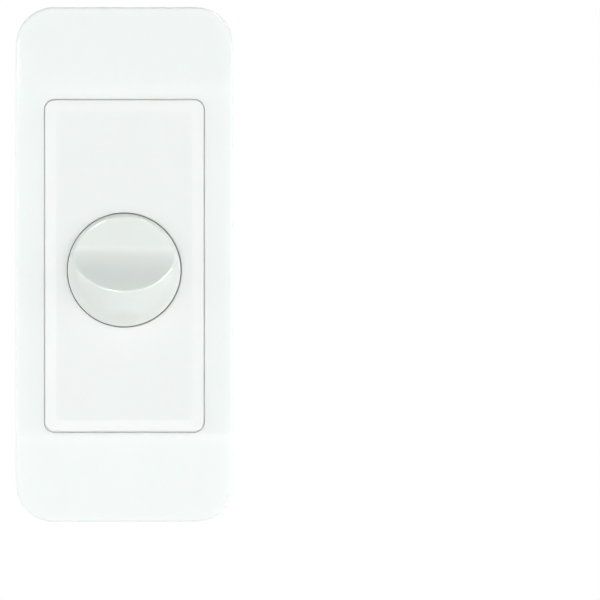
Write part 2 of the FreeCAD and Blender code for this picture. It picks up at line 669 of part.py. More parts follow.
def switch_housing():
    """Square moulding clipped behind the wafer: it guides the plunger and holds the fixed contacts."""
    inner = SWITCH_HALF - SWITCH_WALL
    block = slab(2 * SWITCH_HALF, 2 * SWITCH_HALF, 1.2, WAFER_BACK, SWITCH_BACK)
    shell = block.cut(slab(2 * inner, 2 * inner, 0.4, WAFER_BACK, SWITCH_FLOOR))
    added = [ring_y(3.0, SPRING_POCKET, SWITCH_FLOOR - 0.8, SWITCH_FLOOR)]
    added.append(box(-1.2, 1.2, LATCH_PIVOT_Y - 0.8, SWITCH_FLOOR, -inner, LATCH_Z - 0.4))
    for side in BOTH_SIDES:
        added += [side_box(side, 5.4, inner, 9.6, SWITCH_FLOOR, z, z + 1) for z in (-2, 1)]
    shell = fused([shell] + added)
    cuts = [box(x - 0.9, x + 0.9, SWITCH_FLOOR, SWITCH_BACK, z - 0.2, z + 0.2) for x, z in SWITCH_CONTACT_SPOTS]
    cuts.append(rod_z(0.35, -inner, LATCH_Z, 0, LATCH_PIVOT_Y))
    return cut_all(shell, cuts)


def latch_groove():
    """Slanted groove under the plunger: it moves the pin's tip sideways as the plunger passes."""
    across = (LATCH_PIVOT_Y - LATCH_TIP_Y) * math.sin(math.radians(LATCH_SWING))
    half = 0.55
    near, far = LATCH_TIP_Y + half, LATCH_TIP_Y - PUSH_TRAVEL - half
    corners = [(-half, near), (half, near), (across + half, far), (across - half, far), (-half, near)]
    wire = Part.makePolygon([V(x, y, -PLUNGER_HALF) for x, y in corners])
    return Part.Face(wire).extrude(V(0, 0, 1.0))


def switch_plunger():
    """Sliding block that the shaft pushes back."""
    block = box(-PLUNGER_HALF, PLUNGER_HALF, SHAFT_END, PLUNGER_BACK, -PLUNGER_HALF, PLUNGER_HALF)
    ears = box(-6.4, 6.4, 9.8, 12.8, -0.85, 0.85)
    spring_pocket = rod_y(SPRING_POCKET, SPRING_FRONT, PLUNGER_BACK)
    return fused([block, ears]).cut(spring_pocket).cut(latch_groove())


def switch_spring():
    coil_radius, wire_radius, turns = 1.8, 0.22, 5
    end_room = wire_radius + 0.03
    length = SWITCH_FLOOR - SPRING_FRONT - 2 * end_room
    helix = Part.makeHelix(length / turns, length, coil_radius)
    section = Part.Wire(Part.Circle(V(coil_radius, 0, 0), Y_AXIS, wire_radius).toShape())
    coil = Part.Wire(helix).makePipeShell([section], True, True)
    coil.rotate(V(0, 0, 0), X_AXIS, -90)
    coil.translate(V(0, SPRING_FRONT + end_room, 0))
    return coil


def contact_bridge():
    """Copper strip across the top of the plunger, with a stud at each end."""
    top = PLUNGER_HALF
    parts = [box(-4.2, 4.2, 11.4, 13.0, top, top + 0.4)]
    for x, z in SWITCH_CONTACT_SPOTS:
        parts.append(box(x - 0.8, x + 0.8, 12.6, 13.0, top, z + 0.7))
        parts.append(rod_y(0.6, 13.0, 13.5, x, z))
    return fused(parts)


def switch_contacts():
    """Two fixed blades through the back of the switch housing, pinned to the circuit board."""

    def blade(x, z):
        stem = box(x - 0.9, x + 0.9, 15.9, SWITCH_BACK + 0.4, z - 0.2, z + 0.2)
        pin = box(x - 0.35, x + 0.35, SWITCH_BACK, BOARD_BACK, z - 0.2, z + 0.2)
        return fused([stem, pin, rod_y(0.6, 15.6, 16.1, x, z)])

    return at_spots(SWITCH_CONTACT_SPOTS, blade)


def latch_pin():
    """Bent wire that follows the groove under the plunger and holds the switch in."""
    low = LATCH_Z - 1.1
    high = -PLUNGER_HALF + 0.8
    points = [
        V(0, LATCH_PIVOT_Y, low),
        V(0, LATCH_PIVOT_Y, LATCH_Z),
        V(0, LATCH_TIP_Y, LATCH_Z),
        V(0, LATCH_TIP_Y, high),
    ]
    return bent_wire(points, 0.3, 0.4)


# ---------------------------------------------------------------- module lid, housing and circuit board


def module_lid():
    parts = [slab(MODULE_WIDTH, MODULE_HEIGHT, MODULE_CORNER, 0, LID_THICK)]
    for side in BOTH_SIDES:
        parts.append(side_box(side, 11.6, 12.8, LID_THICK - 0.5, 8.2, -3, 3))
        parts.append(side_box(side, 12.4, 13.9, 6.0, 7.4, -3, 3))
        parts.append(box(-6.5, 6.5, LID_THICK - 0.5, 4.0, side * 23.9 - 0.5, side * 23.9 + 0.5))
    holes = [rod_y(MODULE_SCREW_RADIUS + 0.1, 0, LID_THICK, x, z) for x, z in MODULE_SCREW_SPOTS]
    holes.append(rod_y(BUSHING_RADIUS + 0.1, 0, LID_THICK))
    holes.append(box(-1.2, 1.2, 0, LID_THICK, 5.9, 7.3))
    holes.append(rod_y(1.6, 0, LID_THICK, *TRIMMER_SPOT))
    return cut_all(fused(parts), holes)


def module_housing():
    block = slab(MODULE_WIDTH, MODULE_HEIGHT, MODULE_CORNER, LID_THICK, MODULE_BACK)
    block = rounded_where(block, 1.2, lambda e: lies_flat(e, MODULE_BACK))
    inner_corner = MODULE_CORNER - MODULE_WALL
    hollow = slab(MODULE_INNER_WIDTH, MODULE_INNER_HEIGHT, inner_corner, LID_THICK, MODULE_INNER_BACK)
    parts = [block.cut(hollow)]
    parts += [rod_y(2.5, LID_THICK, 14.0, x, z) for x, z in MODULE_SCREW_SPOTS]
    for side in BOTH_SIDES:
        parts += [side_box(side, 12.2, 13.2, BOARD_BACK, MODULE_INNER_BACK, z - 1.5, z + 1.5) for z in (-8, 0)]

    top, bottom = MODULE_HEIGHT / 2, -MODULE_HEIGHT / 2
    cuts = [rod_y(MODULE_SCREW_RADIUS, LID_THICK, 13.0, x, z) for x, z in MODULE_SCREW_SPOTS]
    cuts += [side_box(side, 12, 15, 5.8, 7.6, -3.2, 3.2) for side in BOTH_SIDES]
    for x in TERMINAL_XS:
        mouth = V(x, MODULE_INNER_BACK, TERMINAL_Z)
        cuts.append(Part.makeCone(2.25, 3.0, MODULE_WALL, mouth, Y_AXIS))
        cuts.append(rod_z(2.8, bottom, bottom + MODULE_WALL, x, TERMINAL_SCREW_Y))
    for x in range(-10, 11, 4):
        cuts.append(slab(1.5, 13.0, 0.74, MODULE_INNER_BACK, MODULE_BACK, x, 13.0))
        cuts.append(box(x - 0.75, x + 0.75, 22.5, 30.0, top - MODULE_WALL, top))
    return cut_all(fused(parts), cuts)


def module_screws():
    """Two screws from the front of the frame, through the lid, into the housing's bosses."""
    under_head, tip = -1.3, 12.0

    def screw(x, z):
        shank = bevelled_at(rod_y(MODULE_SCREW_RADIUS, under_head, tip, x, z), 0.5, tip)
        return fused([shank, pan_head(2.5, 1.5, under_head, x, z)])

    return at_spots(MODULE_SCREW_SPOTS, screw)


CAPACITOR_PIN_SPOTS = [(-6.0, CAPACITOR_Z), (6.0, CAPACITOR_Z)]
CHOKE_PIN_SPOTS = [(CHOKE_SPOT[0] - 4.3, CHOKE_SPOT[1] + 6.3), (CHOKE_SPOT[0] + 4.3, CHOKE_SPOT[1] + 6.3)]


def circuit_board():
    board = slab(BOARD_WIDTH, BOARD_HEIGHT, 0.5, BOARD_FRONT, BOARD_BACK)
    holes = [rod_y(0.62, BOARD_FRONT, BOARD_BACK, x, z) for x, z in SWITCH_CONTACT_SPOTS + CONTROL_PIN_SPOTS]
    holes += [rod_y(0.55, BOARD_FRONT, BOARD_BACK, x, z) for x, z in TRIAC_PIN_SPOTS]
    holes += [rod_y(0.45, BOARD_FRONT, BOARD_BACK, x, z) for x, z in CAPACITOR_PIN_SPOTS + CHOKE_PIN_SPOTS]
    return cut_all(board, holes)


# ---------------------------------------------------------------- parts on the board's room side


def choke_core():
    x, z = CHOKE_SPOT
    return Part.makeTorus(CHOKE_RING, 1.7, V(x, CHOKE_Y, z), Y_AXIS)


def choke_winding():
    """Turns of enamelled wire round the ring core, and the two ends that reach the board."""
    x, z = CHOKE_SPOT
    turns = 18
    loop = Part.makeTorus(2.12, 0.36, V(x + CHOKE_RING, CHOKE_Y, z), Z_AXIS)
    loops = [turned(loop, 360.0 * i / turns, x, z) for i in range(turns)]
    ends = [rod_y(0.36, CHOKE_Y, BOARD_BACK, end_x, end_z) for end_x, end_z in CHOKE_PIN_SPOTS]
    return Part.makeCompound(loops + ends)


def suppression_capacitor():
    """Boxed film capacitor."""
    parts = [slab(16.0, 8.6, 0.8, 7.2, BOARD_FRONT - 0.4, z=CAPACITOR_Z)]
    for x, z in CAPACITOR_PIN_SPOTS:
        parts.append(slab(2.0, 6.0, 0.5, BOARD_FRONT - 0.4, BOARD_FRONT, x, z))
        parts.append(rod_y(0.3, BOARD_FRONT - 0.4, BOARD_BACK, x, z))
    return fused(parts)


def trimmer_base():
    x, z = TRIMMER_SPOT
    block = slab(6.4, 6.4, 0.5, 16.4, BOARD_FRONT, x, z)
    return block.cut(rod_y(1.0, 16.4, 18.6, x, z)).cut(rod_y(2.5, 16.4, 16.9, x, z))


def trimmer_rotor():
    """Slotted disc that a screwdriver turns to set the lowest brightness."""
    x, z = TRIMMER_SPOT
    rotor = fused([rod_y(2.4, 15.6, 16.8, x, z), rod_y(0.96, 16.5, 18.4, x, z)])
    slot = box(x - 1.7, x + 1.7, 15.6, 16.2, z - 0.35, z + 0.35)
    pointer = box(x - 0.35, x + 0.35, 15.6, 16.2, z, z + 1.9)
    return rotor.cut(slot).cut(pointer)


# ---------------------------------------------------------------- parts on the board's wall side


def leaded_part(x, z, height, body_radius, body_half, lead_radius, lead_half):
    """A small round part lying across the board, with its two ends bent down to the board."""
    y = BOARD_BACK + height
    body = rounded_where(rod_x(body_radius, x - body_half, x + body_half, y, z), body_radius * 0.4, is_end_circle)
    left, right = x - lead_half, x + lead_half
    points = [V(left, BOARD_BACK, z), V(left, y, z), V(right, y, z), V(right, BOARD_BACK, z)]
    return fused([body, bent_wire(points, lead_radius, 0.6)])


def fuse_link():
    return leaded_part(0, -9.6, 2.1, 1.7, 4.6, 0.3, 7.0)


def board_resistors():
    spots = [(-7.0, -5.8), (-7.0, -2.8), (7.0, -5.8)]
    return at_spots(spots, lambda x, z: leaded_part(x, z, 1.4, 1.05, 2.9, 0.25, 4.3))


def trigger_diode():
    return leaded_part(7.0, -2.8, 1.3, 0.85, 1.9, 0.25, 3.6)


def timing_capacitors():
    def capacitor(x, z):
        body = slab(6.4, 2.6, 1.0, BOARD_BACK + 0.6, BOARD_BACK + 6.4, x, z)
        return fused([body] + [rod_y(0.28, BOARD_BACK, BOARD_BACK + 0.8, x + dx, z) for dx in (-2.2, 2.2)])

    return at_spots([(-8.3, 1.0), (8.3, 1.0)], capacitor)


def power_triac():
    return slab(10.2, 9.2, 0.3, TAB_FRONT - 3.1, TAB_FRONT, z=TRIAC_Z)


def triac_tab():
    """Copper tab behind the moulded body, and the three legs from the body to the board."""
    tab = slab(10.2, 15.6, 0.6, TAB_FRONT, TAB_FRONT + TAB_THICK, z=13.8)
    tab = tab.cut(rod_y(1.5, TAB_FRONT, TAB_FRONT + TAB_THICK, z=TRIAC_SCREW_Z))

    def leg(x, z):
        along = box(x - 0.4, x + 0.4, TAB_FRONT - 1.9, TAB_FRONT - 1.4, z - 0.25, TRIAC_Z - 4.6)
        down = box(x - 0.4, x + 0.4, BOARD_FRONT, TAB_FRONT - 1.4, z - 0.25, z + 0.25)
        return fused([along, down])

    return Part.makeCompound([tab] + [leg(x, z) for x, z in TRIAC_PIN_SPOTS])


def insulating_pad():
    front = HEAT_SINK_FRONT - PAD_THICK
    pad = slab(12.0, 17.4, 0.5, front, HEAT_SINK_FRONT, z=13.8)
    return pad.cut(rod_y(1.5, front, HEAT_SINK_FRONT, z=TRIAC_SCREW_Z))


def heat_sink():
    """Aluminium channel that stands on the board behind the triac."""
    back = HEAT_SINK_FRONT + HEAT_SINK_THICK
    low, high = 3.8, 23.4
    parts = [box(-11.9, 11.9, HEAT_SINK_FRONT, back, low, high)]
    for side in BOTH_SIDES:
        parts.append(side_box(side, 10.7, 11.9, 24.0, back, low, high))
        parts += [side_box(side, 10.7, 11.9, BOARD_BACK, 24.0, z - 1.5, z + 1.5) for z in (7.0, 20.0)]
    return fused(parts).cut(rod_y(1.5, HEAT_SINK_FRONT, back, z=TRIAC_SCREW_Z))


def heat_sink_screw():
    shank = rod_y(1.5, TAB_FRONT, HEAT_SINK_FRONT + HEAT_SINK_THICK, z=TRIAC_SCREW_Z)
    return fused([shank, pan_head(2.6, 1.8, TAB_FRONT, 0, TRIAC_SCREW_Z)])


def terminal_carrier():
    """Insulating comb on the board that keeps the terminals apart."""
    parts = [slab(25.0, 10.6, 0.6, BOARD_BACK, TERMINAL_FRONT, z=-18.3)]
    for side in BOTH_SIDES:
        parts.append(side_box(side, 3.65, 4.75, BOARD_BACK, 32.2, -23.6, -13.0))
        parts.append(side_box(side, 12.0, 12.6, BOARD_BACK, 32.2, -23.0, -13.6))
    return fused(parts)


def terminal_blocks():
    """Brass tunnels that the wires enter from behind."""

    def tunnel(x, z):
        block = slab(7.0, 7.6, 0.5, TERMINAL_FRONT, TERMINAL_BACK, x, z - 0.9)
        wire_bore = rod_y(TERMINAL_BORE, TERMINAL_FRONT + 1.0, TERMINAL_BACK, x, z)
        screw_hole = rod_z(TERMINAL_SCREW_RADIUS, z - 6, z, x, TERMINAL_SCREW_Y)
        return block.cut(wire_bore).cut(screw_hole)

    return at_spots([(x, TERMINAL_Z) for x in TERMINAL_XS], tunnel)


def terminal_screws():
    """Clamping screws, backed off so that the tunnels are open."""

    def screw(x, z):
        tip, under_head = z - TERMINAL_BORE - 0.1, z - 5.4
        y = TERMINAL_SCREW_Y
        shank = rod_z(TERMINAL_SCREW_RADIUS, under_head, tip, x, y)
        head = rod_z(2.4, under_head - 1.7, under_head, x, y)
        slot = box(x - 3, x + 3, y - 0.4, y + 0.4, under_head - 1.7, under_head - 0.8)
        return fused([shank, head]).cut(slot)

    return at_spots([(x, TERMINAL_Z) for x in TERMINAL_XS], screw)


# ---------------------------------------------------------------- every node, and the export

ROOM_SIDE = [cover_plate, insert_panel, mounting_frame, cover_clips, fixing_screws, captive_washers]

TURNING = [dimmer_dial, dial_grip_spring, control_shaft, shaft_clip, wiper_rotor, wiper_contact]

ABOUT_THE_SHAFT = TURNING + [
    control_bushing,
    control_washer,
    control_nut,
    control_case,
    track_wafer,
    carbon_track,
    control_pins,
    switch_housing,
    switch_plunger,
    switch_spring,
    contact_bridge,
    switch_contacts,
    latch_pin,
    module_lid,
    module_housing,
    module_screws,
    circuit_board,
    choke_core,
    choke_winding,
    suppression_capacitor,
    trimmer_base,
    trimmer_rotor,
    fuse_link,
    board_resistors,
    trigger_diode,
    timing_capacitors,
    power_triac,
    triac_tab,
    insulating_pad,
    heat_sink,
    heat_sink_screw,
    terminal_carrier,
    terminal_blocks,
    terminal_screws,
]


def build():
    """Every node's shape in its place, by node name."""
    shapes = {make.__name__: make() for make in ROOM_SIDE}
    for make in ABOUT_THE_SHAFT:
        shape = make()
        if make in TURNING:
            shape = turned(shape, DIAL_TURN)
        shape.translate(V(0, 0, SHAFT_Z))
        shapes[make.__name__] = shape
    return shapes


def main():
    os.makedirs("parts", exist_ok=True)
    for name, shape in build().items():
        shape.exportStep("parts/" + name + ".step")


if __name__ == "__main__":
    main()
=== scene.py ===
import math

import bmesh
import bpy
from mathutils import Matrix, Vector


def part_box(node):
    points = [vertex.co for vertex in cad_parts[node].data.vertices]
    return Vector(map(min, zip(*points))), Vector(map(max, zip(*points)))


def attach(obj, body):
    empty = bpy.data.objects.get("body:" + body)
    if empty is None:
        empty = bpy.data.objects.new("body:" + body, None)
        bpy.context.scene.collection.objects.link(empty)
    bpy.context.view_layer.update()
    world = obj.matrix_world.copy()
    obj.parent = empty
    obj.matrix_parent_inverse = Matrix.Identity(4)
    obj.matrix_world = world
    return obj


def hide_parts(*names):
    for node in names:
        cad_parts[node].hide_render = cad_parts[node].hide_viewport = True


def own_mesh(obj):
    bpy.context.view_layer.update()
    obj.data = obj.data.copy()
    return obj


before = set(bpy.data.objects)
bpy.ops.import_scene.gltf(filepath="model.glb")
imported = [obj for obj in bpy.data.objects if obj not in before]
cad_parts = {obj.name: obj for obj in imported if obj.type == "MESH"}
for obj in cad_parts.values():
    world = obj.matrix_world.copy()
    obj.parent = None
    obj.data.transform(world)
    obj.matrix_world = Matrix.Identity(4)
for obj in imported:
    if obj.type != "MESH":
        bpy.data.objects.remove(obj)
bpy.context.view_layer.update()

MM = 0.001


# ---------------------------------------------------------------- materials


class Look:
    """A procedural material under construction. Its patterns are laid out in millimetres of the row frame."""

    def __init__(self, slot):
        self.material = bpy.data.materials.new(slot)
        self.material.use_nodes = True
        self.tree = self.material.node_tree
        self.shader = next(n for n in self.tree.nodes if n.type == "BSDF_PRINCIPLED")
        self.place = self.node("ShaderNodeTexCoord").outputs["Object"]

    def node(self, kind, **settings):
        made = self.tree.nodes.new(kind)
        for name, value in settings.items():
            setattr(made, name, value)
        return made

    def feed(self, socket, value):
        """Links a socket's output, or sets a plain value."""
        if isinstance(value, bpy.types.NodeSocket):
            self.tree.links.new(value, socket)
        else:
            socket.default_value = value

    def stretched(self, stretch):
        """Millimetre coordinates, scaled along each axis."""
        scale = self.node("ShaderNodeVectorMath", operation="MULTIPLY")
        self.feed(scale.inputs[0], self.place)
        scale.inputs[1].default_value = [s / MM for s in stretch]
        return scale.outputs[0]

    def noise(self, size, detail=2.0, stretch=(1, 1, 1), distortion=0.0):
        """Smooth random values from 0 to 1, with blotches about size millimetres across."""
        made = self.node("ShaderNodeTexNoise")
        self.feed(made.inputs["Vector"], self.stretched(stretch))
        made.inputs["Scale"].default_value = 1 / size
        made.inputs["Detail"].default_value = detail
        made.inputs["Distortion"].default_value = distortion
        return made.outputs["Fac"]

    def cells(self, size, feature="F1", stretch=(1, 1, 1)):
        """Distance to scattered points about size millimetres apart."""
        made = self.node("ShaderNodeTexVoronoi", feature=feature)
        self.feed(made.inputs["Vector"], self.stretched(stretch))
        made.inputs["Scale"].default_value = 1 / size
        return made.outputs["Distance"]

    def bands(self, spacing, direction, distortion=0.0):
        """Waves from 0 to 1 with that spacing in millimetres."""
        made = self.node("ShaderNodeTexWave", bands_direction=direction)
        self.feed(made.inputs["Vector"], self.stretched((1, 1, 1)))
        made.inputs["Scale"].default_value = math.pi / (10 * spacing)
        made.inputs["Distortion"].default_value = distortion
        return made.outputs["Fac"]

    def spread(self, value, low, high, from_low=0.3, from_high=0.7):
        """value's middle range, mapped on to low to high."""
        made = self.node("ShaderNodeMapRange", interpolation_type="SMOOTHSTEP")
        self.feed(made.inputs["Value"], value)
        made.inputs["From Min"].default_value = from_low
        made.inputs["From Max"].default_value = from_high
        made.inputs["To Min"].default_value = low
        made.inputs["To Max"].default_value = high
        return made.outputs["Result"]

    def math(self, operation, a, b):
        made = self.node("ShaderNodeMath", operation=operation)
        self.feed(made.inputs[0], a)
        self.feed(made.inputs[1], b)
        return made.outputs[0]

    def colours(self, share, first, second):
        """first where share is 0, and second where it is 1."""
        made = self.node("ShaderNodeMix", data_type="RGBA")
        self.feed(made.inputs[0], share)
        self.feed(made.inputs[6], first if not isinstance(first, tuple) else (*first, 1))
        self.feed(made.inputs[7], second if not isinstance(second, tuple) else (*second, 1))
        return made.outputs[2]

    def printed(self, colour):
        """colour, with the printed colour over it on faces that carry one."""
        ink, inked = [self.node("ShaderNodeAttribute", attribute_name=name) for name in ("ink", "inked")]
        return self.colours(inked.outputs["Fac"], colour, ink.outputs["Color"])

    def raised(self, height, depth):
        """Adds a bump where height goes from 0 to 1, depth millimetres high."""
        made = self.node("ShaderNodeBump")
        made.inputs["Distance"].default_value = depth * MM
        self.feed(made.inputs["Height"], height)
        normal = self.shader.inputs["Normal"]
        if normal.is_linked:
            self.feed(made.inputs["Normal"], normal.links[0].from_socket)
        self.feed(normal, made.outputs["Normal"])

    def set(self, **inputs):
        """Shader inputs by name, with spaces written as underscores."""
        for name, value in inputs.items():
            socket = self.shader.inputs[name.replace("_", " ")]
            self.feed(socket, (*value, 1) if socket.type == "RGBA" and isinstance(value, tuple) else value)


def shade(colour, factor):
    return tuple(min(1.0, c * factor) for c in colour)


def gloss_plastic(look, colour, roughness=0.1):
    """Smooth injection-moulded plastic: faint flow marks, fine orange peel and handling haze."""
    flow = look.noise(26, detail=3, stretch=(1, 1, 0.4), distortion=0.6)
    look.set(Base_Color=look.colours(look.spread(flow, 0, 1), shade(colour, 0.994), shade(colour, 1.005)))
    look.set(Roughness=look.spread(look.noise(4.5, detail=4), roughness * 0.9, roughness * 1.25))
    look.set(Subsurface_Weight=1.0, Subsurface_Scale=1.2 * MM, Subsurface_Radius=(0.9, 1.0, 0.97))
    look.raised(look.noise(2.6, detail=2), 0.002)
    look.raised(look.noise(0.35, detail=1), 0.0004)
    look.set(IOR=1.49)


def matte_plastic(look, colour, roughness=0.5, grain=0.22):
    """Moulded plastic with a spark-eroded grain."""
    cloud = look.noise(14, detail=4)
    speck = look.noise(0.8, detail=2)
    base = look.colours(look.spread(cloud, 0, 1), shade(colour, 0.96), shade(colour, 1.03))
    look.set(Base_Color=look.colours(look.spread(speck, 0, 0.3), base, shade(colour, 0.9)))
    look.set(Roughness=look.spread(look.noise(1.5, detail=3), roughness * 0.88, roughness * 1.15))
    look.raised(look.cells(grain), 0.012)
    look.raised(look.noise(grain * 0.7, detail=2), 0.006)
    look.set(IOR=1.5)


def natural_nylon(look, colour):
    matte_plastic(look, colour, roughness=0.38, grain=0.5)
    look.set(Subsurface_Weight=0.15, Subsurface_Scale=0.6 * MM)


def plated_steel(look, colour):
    """Bright zinc: patchy crystals with a faint straw and blue bloom."""
    crystals = look.cells(0.45)
    bloom = look.noise(2.2, detail=3, distortion=1.0)
    tint = look.colours(look.spread(bloom, 0, 1), shade(colour, 0.93), (0.78, 0.75, 0.66))
    blue = look.colours(look.spread(look.noise(3.1, detail=2), 0, 0.35), tint, (0.62, 0.68, 0.78))
    look.set(Base_Color=look.colours(look.spread(crystals, 0.25, 0), blue, shade(colour, 1.15)))
    look.set(Metallic=1.0, Roughness=look.spread(crystals, 0.24, 0.38, 0.1, 0.6))
    look.raised(look.noise(0.3, detail=3), 0.004)


def sprung_steel(look, colour):
    """Rolled strip and drawn wire: fine lines along the rolling direction."""
    lines = look.noise(0.9, detail=4, stretch=(0.15, 6, 6))
    look.set(Base_Color=look.colours(look.spread(lines, 0, 1), shade(colour, 0.82), shade(colour, 1.1)))
    look.set(Metallic=1.0, Roughness=look.spread(lines, 0.2, 0.36))
    look.raised(lines, 0.004)


def turned_metal(look, colour, low=0.14, high=0.3):
    """Metal with fine machining rings along the Y axis and faint tarnish."""
    rings = look.bands(0.16, "Y", distortion=0.6)
    tarnish = look.noise(1.8, detail=4)
    look.set(Base_Color=look.colours(look.spread(tarnish, 0, 1), shade(colour, 0.84), shade(colour, 1.07)))
    look.set(Metallic=1.0, Roughness=look.spread(tarnish, low, high))
    look.raised(rings, 0.003)


def enamelled_wire(look, colour):
    """Copper under tinted enamel."""
    patch = look.noise(1.2, detail=3)
    look.set(Base_Color=look.colours(look.spread(patch, 0, 1), shade(colour, 0.8), shade(colour, 1.15)))
    look.set(Metallic=0.85, Roughness=look.spread(look.noise(0.4, detail=2), 0.22, 0.34))
    look.set(Coat_Weight=0.9, Coat_Roughness=0.08, Coat_Tint=(1.0, 0.72, 0.45))
    look.raised(look.noise(0.5, detail=2), 0.004)


def resin_sheet(look, colour):
    """Paper laminate: short fibres that run along the sheet, under a resin skin."""
    fibres = look.noise(0.7, detail=4, stretch=(3.5, 1, 0.35), distortion=0.4)
    base = look.colours(look.spread(fibres, 0, 1), shade(colour, 0.78), shade(colour, 1.12))
    look.set(Base_Color=look.colours(look.spread(look.noise(9, detail=2), 0, 0.25), base, shade(colour, 0.7)))
    look.set(Roughness=look.spread(fibres, 0.32, 0.5))
    look.raised(fibres, 0.008)


def powder_coat(look, colour):
    """Sprayed coat over pressed powder: pitted, with dark grains that show through."""
    pits = look.cells(0.5)
    grains = look.spread(look.noise(0.35, detail=2), 0, 1, 0.62, 0.72)
    base = look.colours(look.spread(look.noise(3, detail=3), 0, 1), shade(colour, 0.9), shade(colour, 1.05))
    look.set(Base_Color=look.colours(grains, base, (0.25, 0.2, 0.1)))
    look.set(Roughness=look.spread(pits, 0.5, 0.7))
    look.raised(pits, 0.03)
    look.raised(look.noise(0.2, detail=3), 0.02)


def glazed(look, colour, roughness=0.16):
    """Dipped, potted or glazed skin: it pools slightly and is never quite even."""
    pool = look.noise(2.4, detail=3)
    base = look.colours(look.spread(pool, 0, 1), shade(colour, 0.88), shade(colour, 1.08))
    look.set(Base_Color=look.printed(base))
    look.set(Roughness=look.spread(look.noise(0.9, detail=3), roughness * 0.8, roughness * 1.6))
    look.set(Coat_Weight=0.4, Coat_Roughness=0.1)
    look.raised(look.noise(1.1, detail=2), 0.02)
    look.raised(look.noise(0.25, detail=2), 0.003)


def moulded_epoxy(look, colour):
    """Filled epoxy, as round a chip: dull, with fine pale filler."""
    filler = look.spread(look.noise(0.18, detail=1), 0, 1, 0.6, 0.75)
    look.set(Base_Color=look.colours(filler, colour, shade(colour, 2.6)))
    look.set(Roughness=look.spread(look.noise(0.6, detail=3), 0.5, 0.68))
    look.raised(look.noise(0.22, detail=2), 0.012)


def rubbery_sheet(look, colour):
    """Filled silicone sheet with a woven glass core that just shows."""
    warp, weft = look.bands(0.4, "X"), look.bands(0.4, "Z")
    weave = look.math("MULTIPLY", warp, weft)
    look.set(Base_Color=look.colours(look.spread(weave, 0, 1), shade(colour, 0.9), shade(colour, 1.06)))
    look.set(Roughness=look.spread(look.noise(0.9, detail=3), 0.6, 0.78))
    look.raised(weave, 0.01)


def mill_aluminium(look, colour):
    """Extruded aluminium: draw lines along its length."""
    lines = look.noise(0.6, detail=4, stretch=(5, 5, 0.06))
    look.set(Base_Color=look.colours(look.spread(lines, 0, 1), shade(colour, 0.86), shade(colour, 1.06)))
    look.set(Metallic=1.0, Roughness=look.spread(lines, 0.3, 0.48))
    look.raised(lines, 0.01)


def printed_carbon(look, colour):
    """Screen-printed resistive ink: matt, with the screen's mesh in it."""
    mesh = look.math("MULTIPLY", look.bands(0.12, "X"), look.bands(0.12, "Z"))
    look.set(Base_Color=look.colours(look.spread(mesh, 0, 1), colour, shade(colour, 1.8)))
    look.set(Roughness=look.spread(look.noise(0.5, detail=2), 0.42, 0.6))
    look.raised(mesh, 0.004)


RECIPES = {
    "plate_plastic": (gloss_plastic, (0.99, 0.97, 0.965)),
    "panel_plastic": (gloss_plastic, (0.9, 0.89, 0.89)),
    "dial_plastic": (gloss_plastic, (0.832, 0.838, 0.828)),
    "frame_plastic": (matte_plastic, (0.78, 0.785, 0.765)),
    "module_plastic": (matte_plastic, (0.66, 0.67, 0.655)),
    "nylon": (natural_nylon, (0.82, 0.78, 0.68)),
    "switch_plastic": (matte_plastic, (0.035, 0.036, 0.04)),
    "zinc_steel": (plated_steel, (0.7, 0.71, 0.72)),
    "spring_steel": (sprung_steel, (0.58, 0.59, 0.61)),
    "nickel_brass": (turned_metal, (0.74, 0.71, 0.64)),
    "brass": (turned_metal, (0.8, 0.6, 0.27)),
    "copper": (turned_metal, (0.82, 0.44, 0.27)),
    "enamel_copper": (enamelled_wire, (0.62, 0.22, 0.08)),
    "carbon_film": (printed_carbon, (0.02, 0.02, 0.021)),
    "phenolic": (resin_sheet, (0.26, 0.12, 0.045)),
    "board_laminate": (resin_sheet, (0.45, 0.32, 0.12)),
    "powder_iron": (powder_coat, (0.75, 0.6, 0.07)),
    "capacitor_case": (glazed, (0.68, 0.42, 0.03)),
    "trimmer_plastic": (glazed, (0.03, 0.12, 0.42)),
    "ceramic": (glazed, (0.78, 0.75, 0.68)),
    "resistor_coat": (glazed, (0.62, 0.42, 0.22)),
    "diode_glass": (glazed, (0.04, 0.14, 0.42)),
    "film_capacitor": (glazed, (0.27, 0.025, 0.015)),
    "black_epoxy": (moulded_epoxy, (0.012, 0.012, 0.013)),
    "silicone_pad": (rubbery_sheet, (0.3, 0.31, 0.33)),
    "aluminium": (mill_aluminium, (0.78, 0.79, 0.8)),
}


def make_materials():
    made = {}
    for slot, (recipe, colour) in RECIPES.items():
        look = Look(slot)
        recipe(look, colour)
        made[slot] = look.material
    return made


def finish_nodes(materials):
    """Gives each CAD node its slot's material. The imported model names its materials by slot."""
    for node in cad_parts.values():
        for holder in node.material_slots:
            slot = holder.material.name.split(".")[0]
            holder.material = materials[slot]


# ---------------------------------------------------------------- mesh building


def even(sides, start=0.0):
    """That many angles, evenly round a circle."""
    return [start + 2 * math.pi * i / sides for i in range(sides)]


